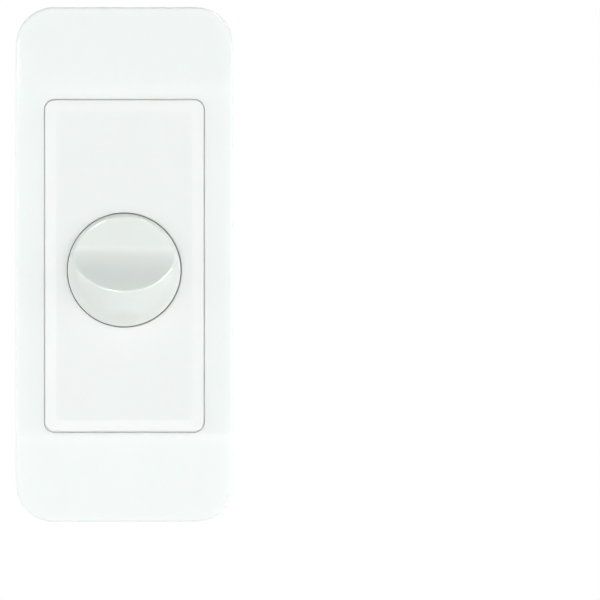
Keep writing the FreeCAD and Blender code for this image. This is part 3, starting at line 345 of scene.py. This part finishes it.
class Form:
    """A mesh under construction, in millimetres of the row frame. A face may carry a printed colour."""

    def __init__(self):
        self.points, self.faces, self.inks = [], [], []

    def add(self, points):
        first = len(self.points)
        self.points += [Vector(point) for point in points]
        return list(range(first, len(self.points)))

    def face(self, corners, ink=None):
        self.faces.append(list(corners))
        self.inks.append(ink)

    def join(self, near, far, ink=None):
        """Quads between two loops of as many points."""
        for i in range(len(near)):
            k = (i + 1) % len(near)
            self.face([near[i], near[k], far[k], far[i]], ink)

    def skin(self, rings, inks=None, capped=True):
        """Joins each ring of points to the next. inks gives a colour or None for each step."""
        loops = [self.add(ring) for ring in rings]
        for i, (near, far) in enumerate(zip(loops, loops[1:])):
            self.join(near, far, inks[i] if inks else None)
        if capped:
            self.face(loops[0], inks[0] if inks else None)
            self.face(loops[-1], inks[-1] if inks else None)
        return loops

    def zip_up(self, outer, outer_turns, inner, inner_turns):
        """Triangles between two loops round one centre, from each point's angle. Both start near angle 0."""
        i = j = 0
        while i < len(outer) or j < len(inner):
            next_outer = outer_turns[i + 1] if i + 1 < len(outer) else outer_turns[0] + 2 * math.pi
            next_inner = inner_turns[j + 1] if j + 1 < len(inner) else inner_turns[0] + 2 * math.pi
            here, there = outer[i % len(outer)], inner[j % len(inner)]
            if j >= len(inner) or (i < len(outer) and next_outer <= next_inner):
                i += 1
                self.face([here, outer[i % len(outer)], there])
            else:
                j += 1
                self.face([here, inner[j % len(inner)], there])


class Axis:
    """A line to turn shapes about. Distances run along it, and angles start at the across direction."""

    def __init__(self, centre, along, across, turns):
        self.centre, self.along, self.across = Vector(centre), Vector(along), Vector(across)
        self.third = self.along.cross(self.across)
        self.turns = turns

    def point(self, distance, radius, turn):
        outward = self.across * math.cos(turn) + self.third * math.sin(turn)
        return self.centre + self.along * distance + outward * radius

    def flat(self, distance, u, v):
        return self.centre + self.along * distance + self.across * u + self.third * v

    def ring(self, distance, radius):
        return [self.point(distance, radius, turn) for turn in self.turns]

    def rings(self, profile):
        return [self.ring(distance, radius) for distance, radius in profile]


def tube(form, path, radius, sides=8):
    """A round bar along a path. Its section is carried along without a twist."""
    path, rings, side = [Vector(point) for point in path], [], None
    for i, here in enumerate(path):
        ahead = (path[min(i + 1, len(path) - 1)] - path[max(i - 1, 0)]).normalized()
        side = ahead.orthogonal() if side is None else side
        side = (side - ahead * side.dot(ahead)).normalized()
        other = ahead.cross(side)
        rings.append([here + (side * math.cos(a) + other * math.sin(a)) * radius for a in even(sides)])
    form.skin(rings)


def bent(corners, reach, steps=6):
    """The path through the corners, with each inner corner rounded from that distance before it."""
    corners = [Vector(corner) for corner in corners]
    path = [corners[0]]
    for before, here, after in zip(corners, corners[1:], corners[2:]):
        start = here + (before - here).normalized() * reach
        end = here + (after - here).normalized() * reach
        for t in (i / steps for i in range(steps + 1)):
            path.append(start * (1 - t) ** 2 + here * 2 * t * (1 - t) + end * t**2)
    return path + [corners[-1]]


def thread(form, axis, start, end, crest, root, tip, pitch):
    """Screw thread that runs in at the start and tapers at the tip. Its start ring has the root radius."""
    sides = len(axis.turns)
    steps = ((0, 0), (0.44, 1), (0.56, 1), (1, 0))  # along one pitch, and the height from root to crest
    columns = []
    for k in range(-sides - 1, (math.ceil((end - start) / pitch) + 1) * sides):
        turn = axis.turns[k % sides]
        column = []
        for share, height in steps:
            distance = start + pitch * (k // sides + turn / (2 * math.pi) + share)
            kept = min(max(distance, start), end)
            grown = root + (crest - root) * height * min(1, (kept - start) / pitch)
            column.append((kept, axis.point(kept, min(grown, tip + end - kept), turn)))
        columns.append(column)
    for near, far in zip(columns, columns[1:]):
        for j in range(len(steps) - 1):
            corners = [near[j], near[j + 1], far[j + 1], far[j]]
            if max(c[0] for c in corners) > start and min(c[0] for c in corners) < end:
                form.face(form.add(point for _, point in corners))
    form.face(form.add(axis.ring(end, tip)))


def cross_recess(form, axis, rim, top, reach, arm, depth):
    """Closes a head at the rim loop with a tapered cross-shaped socket."""
    floor_reach, floor_arm = reach * 0.78, arm * 0.72
    arm_depth = depth * 0.7  # the arms are shallower than the middle

    def outline(reach, arm):
        for quarter in range(4):
            c, s = ((1, 0), (0, 1), (-1, 0), (0, -1))[quarter]
            for u, v in ((reach, -arm), (reach, arm), (arm, arm)):
                yield u * c - v * s, u * s + v * c

    mouth = list(outline(reach, arm))
    turns = [math.atan2(v, u) % (2 * math.pi) for u, v in mouth]
    turns[0] -= 2 * math.pi
    edge = form.add(axis.flat(top, u, v) for u, v in mouth)
    form.zip_up(rim, axis.turns, edge, turns)
    floor = form.add(
        axis.flat(top + (depth if i % 3 == 2 else arm_depth), u, v)
        for i, (u, v) in enumerate(outline(floor_reach, floor_arm))
    )
    form.join(edge, floor)
    for quarter in range(4):
        first = quarter * 3
        form.face([floor[first - 1], floor[first], floor[first + 1], floor[first + 2]])
    form.face([floor[2], floor[5], floor[8], floor[11]])


def cross_head(form, axis, radius, height, neck):
    """Pan head from under it, at distance 0, back along the axis."""
    corner, bevel, steps = height * 0.45, 0.08, 6
    reach, arm, depth = radius * 0.6, radius * 0.15, height * 0.7
    profile = [(0, neck), (0, radius - bevel), (-bevel, radius)]
    for a in (math.pi / 2 * i / steps for i in range(steps + 1)):
        profile.append((-height + corner * (1 - math.sin(a)), radius - corner * (1 - math.cos(a))))
    loops = form.skin(axis.rings(profile), capped=False)
    cross_recess(form, axis, loops[-1], -height, reach, arm, depth)


def slotted_head(form, axis, radius, height, depth, neck):
    """Cheese head. The axis's first and last turns in each half lie on the slot's two edges."""
    half, bevel = len(axis.turns) // 2, 0.12
    floor, top = depth - height, -height
    _, _, rim = form.skin(axis.rings([(0, neck), (0, radius), (floor, radius)]), capped=False)
    form.face([rim[-1], rim[0], rim[half - 1], rim[half]])
    for first in (0, half):
        arc = range(first, first + half)
        low = [rim[i] for i in arc]
        high = form.add(axis.point(top + bevel, radius, axis.turns[i]) for i in arc)
        cap = form.add(axis.point(top, radius - bevel, axis.turns[i]) for i in arc)
        for near, far in ((low, high), (high, cap)):
            for i in range(half - 1):
                form.face([near[i], near[i + 1], far[i + 1], far[i]])
        form.face([low[0], low[-1], high[-1], cap[-1], cap[0], high[0]])
        form.face(cap)


SHARP_ANGLE = math.radians(40)  # faces that meet at more than this don't shade as one
SAME_PLACE = 1e-4 * MM  # points closer than this become one


def piece(form, name, slot, stands_for=None):
    """Makes the form an object of the fixed body. It may stand for one CAD node."""
    work = bmesh.new()
    ink, inked = work.faces.layers.float_vector.new("ink"), work.faces.layers.float.new("inked")
    points = [work.verts.new(point * MM) for point in form.points]
    for corners, colour in zip(form.faces, form.inks):
        made = work.faces.new([points[c] for c in corners])
        if colour:
            made[ink], made[inked] = colour, 1.0
    bmesh.ops.remove_doubles(work, verts=work.verts, dist=SAME_PLACE)
    bmesh.ops.recalc_face_normals(work, faces=work.faces)
    mesh = bpy.data.meshes.new(name)
    work.to_mesh(mesh)
    work.free()
    mesh.shade_smooth()
    mesh.set_sharp_from_angle(angle=SHARP_ANGLE)
    mesh.materials.append(materials[slot])
    made = bpy.data.objects.new(name, mesh)
    bpy.context.scene.collection.objects.link(made)
    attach(made, "frame")
    if stands_for:
        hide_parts(stands_for)
    return made


def node_box(name):
    """Lowest and highest corner of a CAD node in millimetres."""
    low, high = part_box(name)
    return low / MM, high / MM


# ---------------------------------------------------------------- screws and spring

Y_WAY, X_WAY, Z_WAY = (0, 1, 0), (1, 0, 0), (0, 0, 1)
SCREW_SIDES = 24


def shank(form, axis, length, neck, neck_length, start, root, crest, tip, pitch):
    """A plain neck, then the thread from start to the tip. Lengths run from under the head."""
    form.skin(axis.rings([(0, neck), (neck_length, neck), (start, root)]), capped=False)
    thread(form, axis, start, length, crest, root, tip, pitch)


def fixing_screws():
    low, high = node_box("fixing_screws")
    head, height, neck = 3.2, 2.0, 1.45
    length = high.y - low.y - height
    form = Form()
    for z in (low.z + head, high.z - head):
        axis = Axis((0, low.y + height, z), Y_WAY, X_WAY, even(SCREW_SIDES))
        cross_head(form, axis, head, height, neck)
        shank(form, axis, length, neck, neck_length=3.0, start=3.05, root=1.4, crest=1.75, tip=1.15, pitch=0.6)
    piece(form, "fixing_screw_pair", "zinc_steel", "fixing_screws")


def module_screws():
    low, high = node_box("module_screws")
    head, height, neck = 2.5, 1.5, 1.3
    length = high.y - low.y - height
    form = Form()
    for x, z in ((high.x - head, high.z - head), (low.x + head, low.z + head)):
        axis = Axis((x, low.y + height, z), Y_WAY, X_WAY, even(SCREW_SIDES))
        cross_head(form, axis, head, height, neck)
        shank(form, axis, length, neck, neck_length=1.6, start=2.0, root=0.95, crest=1.3, tip=0.6, pitch=1.05)
    piece(form, "module_screw_pair", "zinc_steel", "module_screws")


def heat_sink_screw():
    low, high = node_box("heat_sink_screw")
    head, height, neck = 2.6, 1.8, 1.5
    length = high.y - low.y - height
    form = Form()
    axis = Axis((0, low.y + height, (low.z + high.z) / 2), Y_WAY, X_WAY, even(SCREW_SIDES))
    cross_head(form, axis, head, height, neck)
    shank(form, axis, length, neck, neck_length=0.4, start=0.6, root=1.22, crest=1.5, tip=1.1, pitch=0.5)
    piece(form, "heat_sink_machine_screw", "zinc_steel", "heat_sink_screw")


def terminal_screws():
    low, high = node_box("terminal_screws")
    head, height, neck, slot_half, slot_depth = 2.4, 1.7, 1.25, 0.4, 0.9
    length = high.z - low.z - height
    lean = math.asin(slot_half / head)
    turns, half = even(SCREW_SIDES, math.pi / SCREW_SIDES), SCREW_SIDES // 2
    turns[0], turns[half - 1] = lean, math.pi - lean
    turns[half], turns[-1] = math.pi + lean, 2 * math.pi - lean
    form = Form()
    for x in (low.x + head, (low.x + high.x) / 2, high.x - head):
        axis = Axis((x, (low.y + high.y) / 2, low.z + height), Z_WAY, X_WAY, turns)
        slotted_head(form, axis, head, height, slot_depth, neck)
        shank(form, axis, length, neck, neck_length=0.3, start=0.5, root=1.0, crest=1.25, tip=0.9, pitch=0.5)
    piece(form, "terminal_clamp_screws", "zinc_steel", "terminal_screws")


def switch_spring():
    """Compression spring with a closed turn at each end."""
    low, high = node_box("switch_spring")
    middle = (low + high) / 2
    wire, coil, closed, turns, steps, play = 0.22, 1.8, 1.0, 7.0, 28, 0.01
    first, last = low.y + wire + play, high.y - wire - play
    rise = 2 * (wire + play)
    path = []
    for i in range(int(turns * steps) + 1):
        turn = i / steps
        open_share = min(max((turn - closed) / (turns - 2 * closed), 0), 1)
        ends = rise * (min(turn, closed) + max(turn - (turns - closed), 0))
        y = first + ends + (last - first - 2 * rise * closed) * open_share
        angle = 2 * math.pi * turn
        path.append((middle.x + coil * math.cos(angle), y, middle.z + coil * math.sin(angle)))
    form = Form()
    tube(form, path, wire, sides=10)
    spring = piece(form, "return_spring_coil", "spring_steel", "switch_spring")
    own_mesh(spring)


# ---------------------------------------------------------------- parts on the circuit board


def choke_winding():
    """One enamelled wire, wound round the core and led to two holes in the board."""
    low, high = node_box("choke_core")
    middle, ring, loop, wire = (low + high) / 2, 4.7, 2.12, 0.36
    board_back = node_box("circuit_board")[1].y
    lead_x, lead_z, bend = 4.3, 6.3, 0.8
    lead_out = math.hypot(lead_x, lead_z)
    start = math.atan2(lead_z, -lead_x)
    span = 2 * math.pi - 2 * (start - math.pi / 2)
    turns, steps = 15.75, 20

    def spot(turn, out, y):
        return middle.x + out * math.cos(turn), middle.y + y, middle.z + out * math.sin(turn)

    back = board_back - middle.y
    path = bent([spot(start, lead_out, back), spot(start, lead_out, 1.6), spot(start, ring + loop, 0.5)], bend)
    for i in range(int(turns * steps) + 1):
        share = i / (turns * steps)
        around = 2 * math.pi * turns * share
        path.append(spot(start + span * share, ring + loop * math.cos(around), -loop * math.sin(around)))
    end = start + span
    tail = bent([spot(end, ring + 0.2, loop), spot(end, lead_out, loop), spot(end, lead_out, back)], bend)
    form = Form()
    tube(form, path + tail, wire)
    piece(form, "choke_wire", "enamel_copper", "choke_winding")


ROUND_SIDES = 20
LEAD_RADIUS = 0.25
LEAD_BEND = 0.6
BROWN, BLACK, ORANGE, RED = (0.1, 0.03, 0.012), (0.01, 0.01, 0.01), (0.7, 0.19, 0.02), (0.45, 0.015, 0.01)
YELLOW, VIOLET, GOLD = (0.75, 0.52, 0.03), (0.14, 0.03, 0.25), (0.45, 0.29, 0.08)
RESISTOR_BANDS = ((-2.4, -1.95), (-1.25, -0.85), (-0.45, -0.05), (1.95, 2.4))
# shapes turned about a part's own axis: distance from its middle, and the radius there
RESISTOR_SHAPE = (
    (-2.9, 0.24), (-2.87, 0.55), (-2.75, 0.85), (-2.55, 1.0), (-2.4, 1.05), (-1.95, 1.05), (-1.75, 0.98),
    (-1.5, 0.88), (-1.25, 0.85), (-0.85, 0.84), (-0.45, 0.84), (-0.05, 0.84), (1.25, 0.85), (1.5, 0.88),
    (1.75, 0.98), (1.95, 1.05), (2.4, 1.05), (2.55, 1.0), (2.75, 0.85), (2.87, 0.55), (2.9, 0.24),
)  # fmt: skip
DIODE_SHAPE = (
    (-1.9, 0.2), (-1.87, 0.5), (-1.75, 0.72), (-1.5, 0.84), (-1.2, 0.85), (-0.8, 0.85), (1.2, 0.85),
    (1.5, 0.84), (1.75, 0.72), (1.87, 0.5), (1.9, 0.2),
)  # fmt: skip
DIODE_BAND = (-1.2, -0.8)
FUSE_CAP_SHAPE = ((3.0, 1.5), (3.0, 1.67), (3.04, 1.7), (4.3, 1.7), (4.5, 1.62), (4.6, 1.45), (4.6, 0.3))


def banded(form, centre, shape, bands):
    """Round body along X, with a printed band over each stretch that bands names."""
    axis = Axis(centre, X_WAY, Y_WAY, even(ROUND_SIDES))
    inks = []
    for (near, _), (far, _) in zip(shape, shape[1:]):
        inks.append(next((ink for (low, high), ink in bands if low <= near and far <= high), None))
    form.skin(axis.rings(shape), inks)


def lead(form, centre, half, radius, board):
    """Wire through a body's middle, bent down to the board at both ends."""
    x, y, z = centre
    corners = [(x - half, board, z), (x - half, y, z), (x + half, y, z), (x + half, board, z)]
    tube(form, bent(corners, LEAD_BEND), radius, sides=10)


def resistors(board, wires):
    low, high = node_box("board_resistors")
    y, out, row, lead_half = board + 1.4, 4.55, 3.0, 4.3
    codes = ((BROWN, BLACK, ORANGE, GOLD), (YELLOW, VIOLET, RED, GOLD), (BROWN, RED, ORANGE, GOLD))
    low_row = (low.z + high.z - row) / 2
    spots = ((low.x + out, low_row), (low.x + out, low_row + row), (high.x - out, low_row))
    form = Form()
    for (x, z), code in zip(spots, codes):
        banded(form, (x, y, z), RESISTOR_SHAPE, list(zip(RESISTOR_BANDS, code)))
        lead(wires, (x, y, z), lead_half, LEAD_RADIUS, board)
    piece(form, "resistor_bodies", "resistor_coat", "board_resistors")


def diode(board, wires):
    low, high = node_box("trigger_diode")
    lift, lead_half = 1.3, 3.6
    centre = ((low.x + high.x) / 2, board + lift, (low.z + high.z) / 2)
    form = Form()
    banded(form, centre, DIODE_SHAPE, [(DIODE_BAND, BLACK)])
    lead(wires, centre, lead_half, LEAD_RADIUS, board)
    piece(form, "diode_body", "diode_glass", "trigger_diode")


def fuse(board, wires):
    """Ceramic tube, with a metal cap over each end."""
    low, high = node_box("fuse_link")
    lift, tube_half, tube_radius, lead_half, lead_radius = 2.1, 3.3, 1.58, 7.0, 0.3
    centre = ((low.x + high.x) / 2, board + lift, (low.z + high.z) / 2)
    axis = Axis(centre, X_WAY, Y_WAY, even(28))
    form = Form()
    form.skin(axis.rings([(-tube_half, tube_radius), (tube_half, tube_radius)]))
    piece(form, "fuse_tube", "ceramic", "fuse_link")
    form = Form()
    for side in (-1, 1):
        form.skin(axis.rings([(side * distance, radius) for distance, radius in FUSE_CAP_SHAPE]))
    piece(form, "fuse_caps", "nickel_brass")
    lead(wires, centre, lead_half, lead_radius, board)


def capacitors(board, wires):
    """Dipped bodies, each on two legs with a collar of the dip round them."""
    low, high = node_box("timing_capacitors")
    half, thick, lift, foot, leg_radius, leg_length, levels = 3.2, 1.3, 0.6, 2.2, 0.28, 1.5, 14
    z = (low.z + high.z) / 2
    form = Form()
    for x in (low.x + half, high.x - half):
        form.skin([pillow((x, z), half, thick, board + lift, high.y, i / levels) for i in range(levels + 1)])
        for side in (-1, 1):
            axis = Axis((x + side * foot, board, z), Y_WAY, X_WAY, even(12))
            form.skin(axis.rings([(0.35, 0.3), (0.5, 0.42), (1.0, 0.6), (2.0, 0.7)]))
            wires.skin(axis.rings([(0, leg_radius), (leg_length, leg_radius)]))
    piece(form, "dipped_capacitors", "film_capacitor", "timing_capacitors")


def pillow(centre, half, thick, bottom, top, share):
    """One level of a dipped body: a rounded oblong that closes in at both ends."""
    end_fullness, side_fullness, face_fullness, smallest = 3.2, 0.55, 0.75, 0.08
    lift = 1 - math.cos(math.pi * share)
    narrow = max(1 - abs(lift - 1) ** end_fullness, 0.0) ** (1 / end_fullness)
    narrow = max(narrow, smallest)
    y = bottom + (top - bottom) * lift / 2
    ring = []
    for turn in even(32):
        c, s = math.cos(turn), math.sin(turn)
        u = half * math.copysign(abs(c) ** side_fullness, c) * narrow
        v = thick * math.copysign(abs(s) ** face_fullness, s) * min(1, narrow * 1.05)
        ring.append((centre[0] + u, y, centre[1] + v))
    return ring


def board_parts():
    """The small parts on the board's wall side, and all their tinned leads."""
    board = node_box("circuit_board")[1].y
    wires = Form()
    for make_part in (resistors, diode, fuse, capacitors):
        make_part(board, wires)
    piece(wires, "part_leads", "nickel_brass")


# a track's width, then its route in x and z from the board's middle
TRACKS = (
    (1.8, (-3, 5.5), (-3, 8.5), (-8.5, 14), (-8.5, 22.9)),  # switch to choke
    (1.8, (0.1, 22.9), (0.1, 12), (0, 1.2), (0, -11.9)),  # choke to triac and control
    (1.2, (3, 5.5), (4.3, 4.2), (4.3, -0.8), (5.2, -1.7), (5.2, -8), (7, -9.6)),  # switch to fuse
    (2.0, (-7, -9.6), (-8.4, -12.2)),  # fuse to terminal
    (0.9, (-2.54, 1.2), (-2.7, -2.8)),  # triac to upper left resistor
    (0.9, (2.54, 1.2), (3.4, -0.6), (3.4, -2.8)),  # triac to diode
    (0.9, (-6.1, 1.0), (-5.0, -0.4), (-5.0, -4.4), (-2.7, -5.8), (-2.7, -8.5), (-3.4, -11.9)),  # to control
    (0.9, (-10.5, 1.0), (-11.3, -0.5), (-11.3, -5.8)),  # left capacitor to both left resistors
    (0.9, (2.7, -5.8), (2.7, -8.5), (3.4, -11.9)),  # right resistor to control
    (0.9, (10.5, 1.0), (10.6, -2.8), (11.3, -5.8)),  # right capacitor, diode and resistor
)
# what is soldered: its wire's radius, then its spots
JOINTS = {
    "switch contacts": (0.4, (-3, 5.5), (3, 5.5)),
    "control pins": (0.3, (-3.4, -12.5), (0, -12.5), (3.4, -12.5)),
    "triac": (0.35, (-2.54, 1.2), (0, 1.2), (2.54, 1.2)),
    "choke": (0.36, (-8.5, 22.9), (0.1, 22.9)),
    "fuse": (0.3, (-7, -9.6), (7, -9.6)),
    "diode": (0.25, (3.4, -2.8), (10.6, -2.8)),
    "left resistors": (0.25, (-11.3, -5.8), (-2.7, -5.8), (-11.3, -2.8), (-2.7, -2.8)),
    "right resistor": (0.25, (2.7, -5.8), (11.3, -5.8)),
    "timing capacitors": (0.28, (-10.5, 1.0), (-6.1, 1.0), (6.1, 1.0), (10.5, 1.0)),
}
COPPER_THICK = 0.05
COPPER_SUNK = 0.02  # how far the copper and solder reach into what they lie on
SMALL_PADS_BELOW = -12  # the control's pins are too close together for full pads


def board_back():
    """Copper tracks on the board's wall side, and a solder joint round each lead that shows."""
    low, high = node_box("circuit_board")
    board, middle = high.y, (low.z + high.z) / 2
    joints = [(x, z, wire) for wire, *spots in JOINTS.values() for x, z in spots]

    def upright(x, z):
        return Axis((x, board, z + middle), Y_WAY, X_WAY, even(ROUND_SIDES))

    form = Form()
    for width, *route in TRACKS:
        ribbon(form, [(x, z + middle) for x, z in route], width, board - COPPER_SUNK, board + COPPER_THICK)
    for x, z, _ in joints:
        pad = 1.0 if z > SMALL_PADS_BELOW else 0.48
        form.skin(upright(x, z).rings([(-COPPER_SUNK, pad), (COPPER_THICK + 0.01, pad)]))
    piece(form, "copper_tracks", "copper")

    form, edge, height, steps = Form(), 0.1, 0.42, 5
    for x, z, wire in joints:
        pad = 0.85 if z > SMALL_PADS_BELOW else 0.46
        foot, collar = pad - 0.06, wire + 0.03
        profile = [(COPPER_THICK - COPPER_SUNK, pad), (edge, foot)]
        for share in (i / steps for i in range(1, steps + 1)):
            profile.append((edge + height * share**1.6, collar + (foot - collar) * (1 - share) ** 1.5))
        form.skin(upright(x, z).rings(profile))
    piece(form, "solder_joints", "nickel_brass")


def ribbon(form, route, width, front, back):
    """Flat strip along a route in x and z, with mitred corners."""
    route = [Vector(spot) for spot in route]
    left, right = [], []
    for i, here in enumerate(route):
        coming = (here - route[i - 1]).normalized() if i else (route[1] - here).normalized()
        going = (route[i + 1] - here).normalized() if i + 1 < len(route) else coming
        middle = (coming + going).normalized()
        normal = Vector((-middle.y, middle.x)) * width / 2 / max(middle.dot(coming), 0.5)
        left.append(here + normal)
        right.append(here - normal)
    sections = []
    for one, other in zip(left, right):
        corners = ((one, front), (other, front), (other, back), (one, back))
        sections.append([(spot.x, y, spot.y) for spot, y in corners])
    form.skin(sections)


# ---------------------------------------------------------------- stage, light and camera

# in metres of the row frame
VIEW_WIDTH = 0.13618  # how much of the object's plane the picture spans
OBJECT_PLANE = -0.009
CAMERA_BACK = -1.3
CAMERA_X = 0.03985
CAMERA_Z = -0.00808
SENSOR = 36.0


def make_camera():
    data = bpy.data.cameras.new("photo_view")
    data.sensor_width = SENSOR
    data.lens = SENSOR * (OBJECT_PLANE - CAMERA_BACK) / VIEW_WIDTH
    data.clip_start, data.clip_end = 0.05, 20
    camera = bpy.data.objects.new("photo_view", data)
    camera.location = (CAMERA_X, CAMERA_BACK, CAMERA_Z)
    camera.rotation_euler = (math.radians(90), 0, 0)
    bpy.context.scene.collection.objects.link(camera)
    bpy.context.scene.camera = camera


class World:
    """The studio: soft white light from the front, over a dim greenish fill all round."""

    FILL = (0.105, 0.165, 0.15)
    KEY = (1.0, 0.982, 0.982)
    FRONT_LEVEL = 2.52
    FRONT_EDGE = (-0.15, 0.1)  # how far in front of the plate's plane the light begins, as a share of 1
    # height of a direction, from straight down at -1 to straight up at 1, and the light's share there
    FRONT_BANDS = (
        (-0.97, 0.0), (-0.95, 0.5), (-0.9, 0.35), (-0.85, 0.12), (-0.6, 0.08), (-0.35, 0.22), (-0.15, 0.92),
        (0.0, 1.0), (0.06, 0.95), (0.12, 0.75), (0.2, 0.7), (0.24, 0.8), (0.28, 0.6), (0.33, 0.05), (0.38, 0.0),
        (1.0, 0.0),
    )  # fmt: skip
    SIDE_TILT = 0.15  # how much more light comes from the right than from the middle
    LENS_GAP = (0.9925, 0.9990)  # where the camera itself keeps the light away
    LENS_LEVEL = 0.25
    # plain light from the wall's side, which only the plate's outer edges and the back can see
    WALL_SIDE_EDGE = (0.0, 0.5)
    WALL_SIDE_LEVEL = 1.0

    def __init__(self):
        world = bpy.data.worlds.new("studio")
        world.use_nodes = True
        bpy.context.scene.world = world
        self.tree = world.node_tree
        self.tree.nodes.clear()
        split = self.node("ShaderNodeSeparateXYZ")
        self.link(self.node("ShaderNodeTexCoord").outputs["Generated"], split.inputs[0])
        right, deep, up = split.outputs
        ahead = self.math("MULTIPLY", deep, -1)

        level = self.step(ahead, self.FRONT_EDGE, 0, 1)
        for share in (
            self.bands(up),
            self.step(ahead, self.LENS_GAP, 1, self.LENS_LEVEL),
            self.math("MULTIPLY_ADD", right, self.SIDE_TILT, 1),
        ):
            level = self.math("MULTIPLY", level, share)
        behind = self.step(deep, self.WALL_SIDE_EDGE, 0, self.WALL_SIDE_LEVEL)
        level = self.math("MULTIPLY_ADD", level, self.FRONT_LEVEL, behind)

        fill, key, backdrop = [self.node("ShaderNodeBackground") for _ in range(3)]
        fill.inputs["Color"].default_value = (*self.FILL, 1)
        key.inputs["Color"].default_value = (*self.KEY, 1)
        backdrop.inputs["Color"].default_value = (1, 1, 1, 1)
        self.link(level, key.inputs["Strength"])
        both, seen = self.node("ShaderNodeAddShader"), self.node("ShaderNodeMixShader")
        self.link(fill.outputs[0], both.inputs[0])
        self.link(key.outputs[0], both.inputs[1])
        self.link(self.node("ShaderNodeLightPath").outputs["Is Camera Ray"], seen.inputs[0])
        self.link(both.outputs[0], seen.inputs[1])
        self.link(backdrop.outputs[0], seen.inputs[2])
        self.link(seen.outputs[0], self.node("ShaderNodeOutputWorld").inputs["Surface"])

    def node(self, kind):
        return self.tree.nodes.new(kind)

    def link(self, source, socket):
        self.tree.links.new(source, socket)

    def math(self, operation, *values):
        made = self.node("ShaderNodeMath")
        made.operation = operation
        for socket, value in zip(made.inputs, values):
            if isinstance(value, bpy.types.NodeSocket):
                self.link(value, socket)
            else:
                socket.default_value = value
        return made.outputs[0]

    def bands(self, up):
        made = self.node("ShaderNodeValToRGB")
        self.link(self.math("MULTIPLY_ADD", up, 0.5, 0.5), made.inputs["Fac"])
        stops = made.color_ramp.elements
        while len(stops) < len(self.FRONT_BANDS):
            stops.new(1.0)
        for stop, (height, share) in zip(stops, self.FRONT_BANDS):
            stop.position = height / 2 + 0.5
            stop.color = (share, share, share, 1)
        return made.outputs["Color"]

    def step(self, value, edge, before, after):
        """before below the edge and after above it, with a smooth change across it."""
        made = self.node("ShaderNodeMapRange")
        made.interpolation_type = "SMOOTHSTEP"
        self.link(value, made.inputs["Value"])
        for name, number in zip(("From Min", "From Max", "To Min", "To Max"), (*edge, before, after)):
            made.inputs[name].default_value = number
        return made.outputs["Result"]


GLINTS = ((-0.23, -0.88, 0.35), (0.33, -0.53, 0.78))  # where the two small lamps stand, as directions
GLINT_STRENGTH = 2.2
GLINT_WIDTH = 9.0  # degrees across


def make_glints():
    """Small lamps that leave bright specks along the edge of the finger dish."""
    for i, way in enumerate(GLINTS):
        data = bpy.data.lights.new(f"glint_{i + 1}", "SUN")
        data.energy, data.angle = GLINT_STRENGTH, math.radians(GLINT_WIDTH)
        lamp = bpy.data.objects.new(data.name, data)
        lamp.visible_diffuse = False
        lamp.rotation_euler = Vector(way).to_track_quat("Z", "Y").to_euler()
        bpy.context.scene.collection.objects.link(lamp)


def make_floor():
    """A plain pale floor, far enough below that the photograph's view doesn't reach it."""
    half, level, glow = 1.5, -0.25, 0.45
    mesh = bpy.data.meshes.new("floor")
    corners = [(-half, -half, level), (half, -half, level), (half, half, level), (-half, half, level)]
    mesh.from_pydata(corners, [], [(0, 1, 2, 3)])
    floor = bpy.data.objects.new("floor", mesh)
    bpy.context.scene.collection.objects.link(floor)
    look = Look("pale_floor")
    matte_plastic(look, (0.85, 0.85, 0.84), roughness=0.6, grain=3)
    look.set(Emission_Color=(1.0, 1.0, 1.0), Emission_Strength=glow)
    mesh.materials.append(look.material)
    floor.visible_diffuse = floor.visible_glossy = floor.visible_shadow = False


materials = make_materials()
finish_nodes(materials)
for make_piece in (
    fixing_screws,
    module_screws,
    heat_sink_screw,
    terminal_screws,
    switch_spring,
    choke_winding,
    board_parts,
    board_back,
):
    make_piece()
make_camera()
World()
make_glints()
make_floor()
bpy.context.scene.view_settings.view_transform = "Standard"
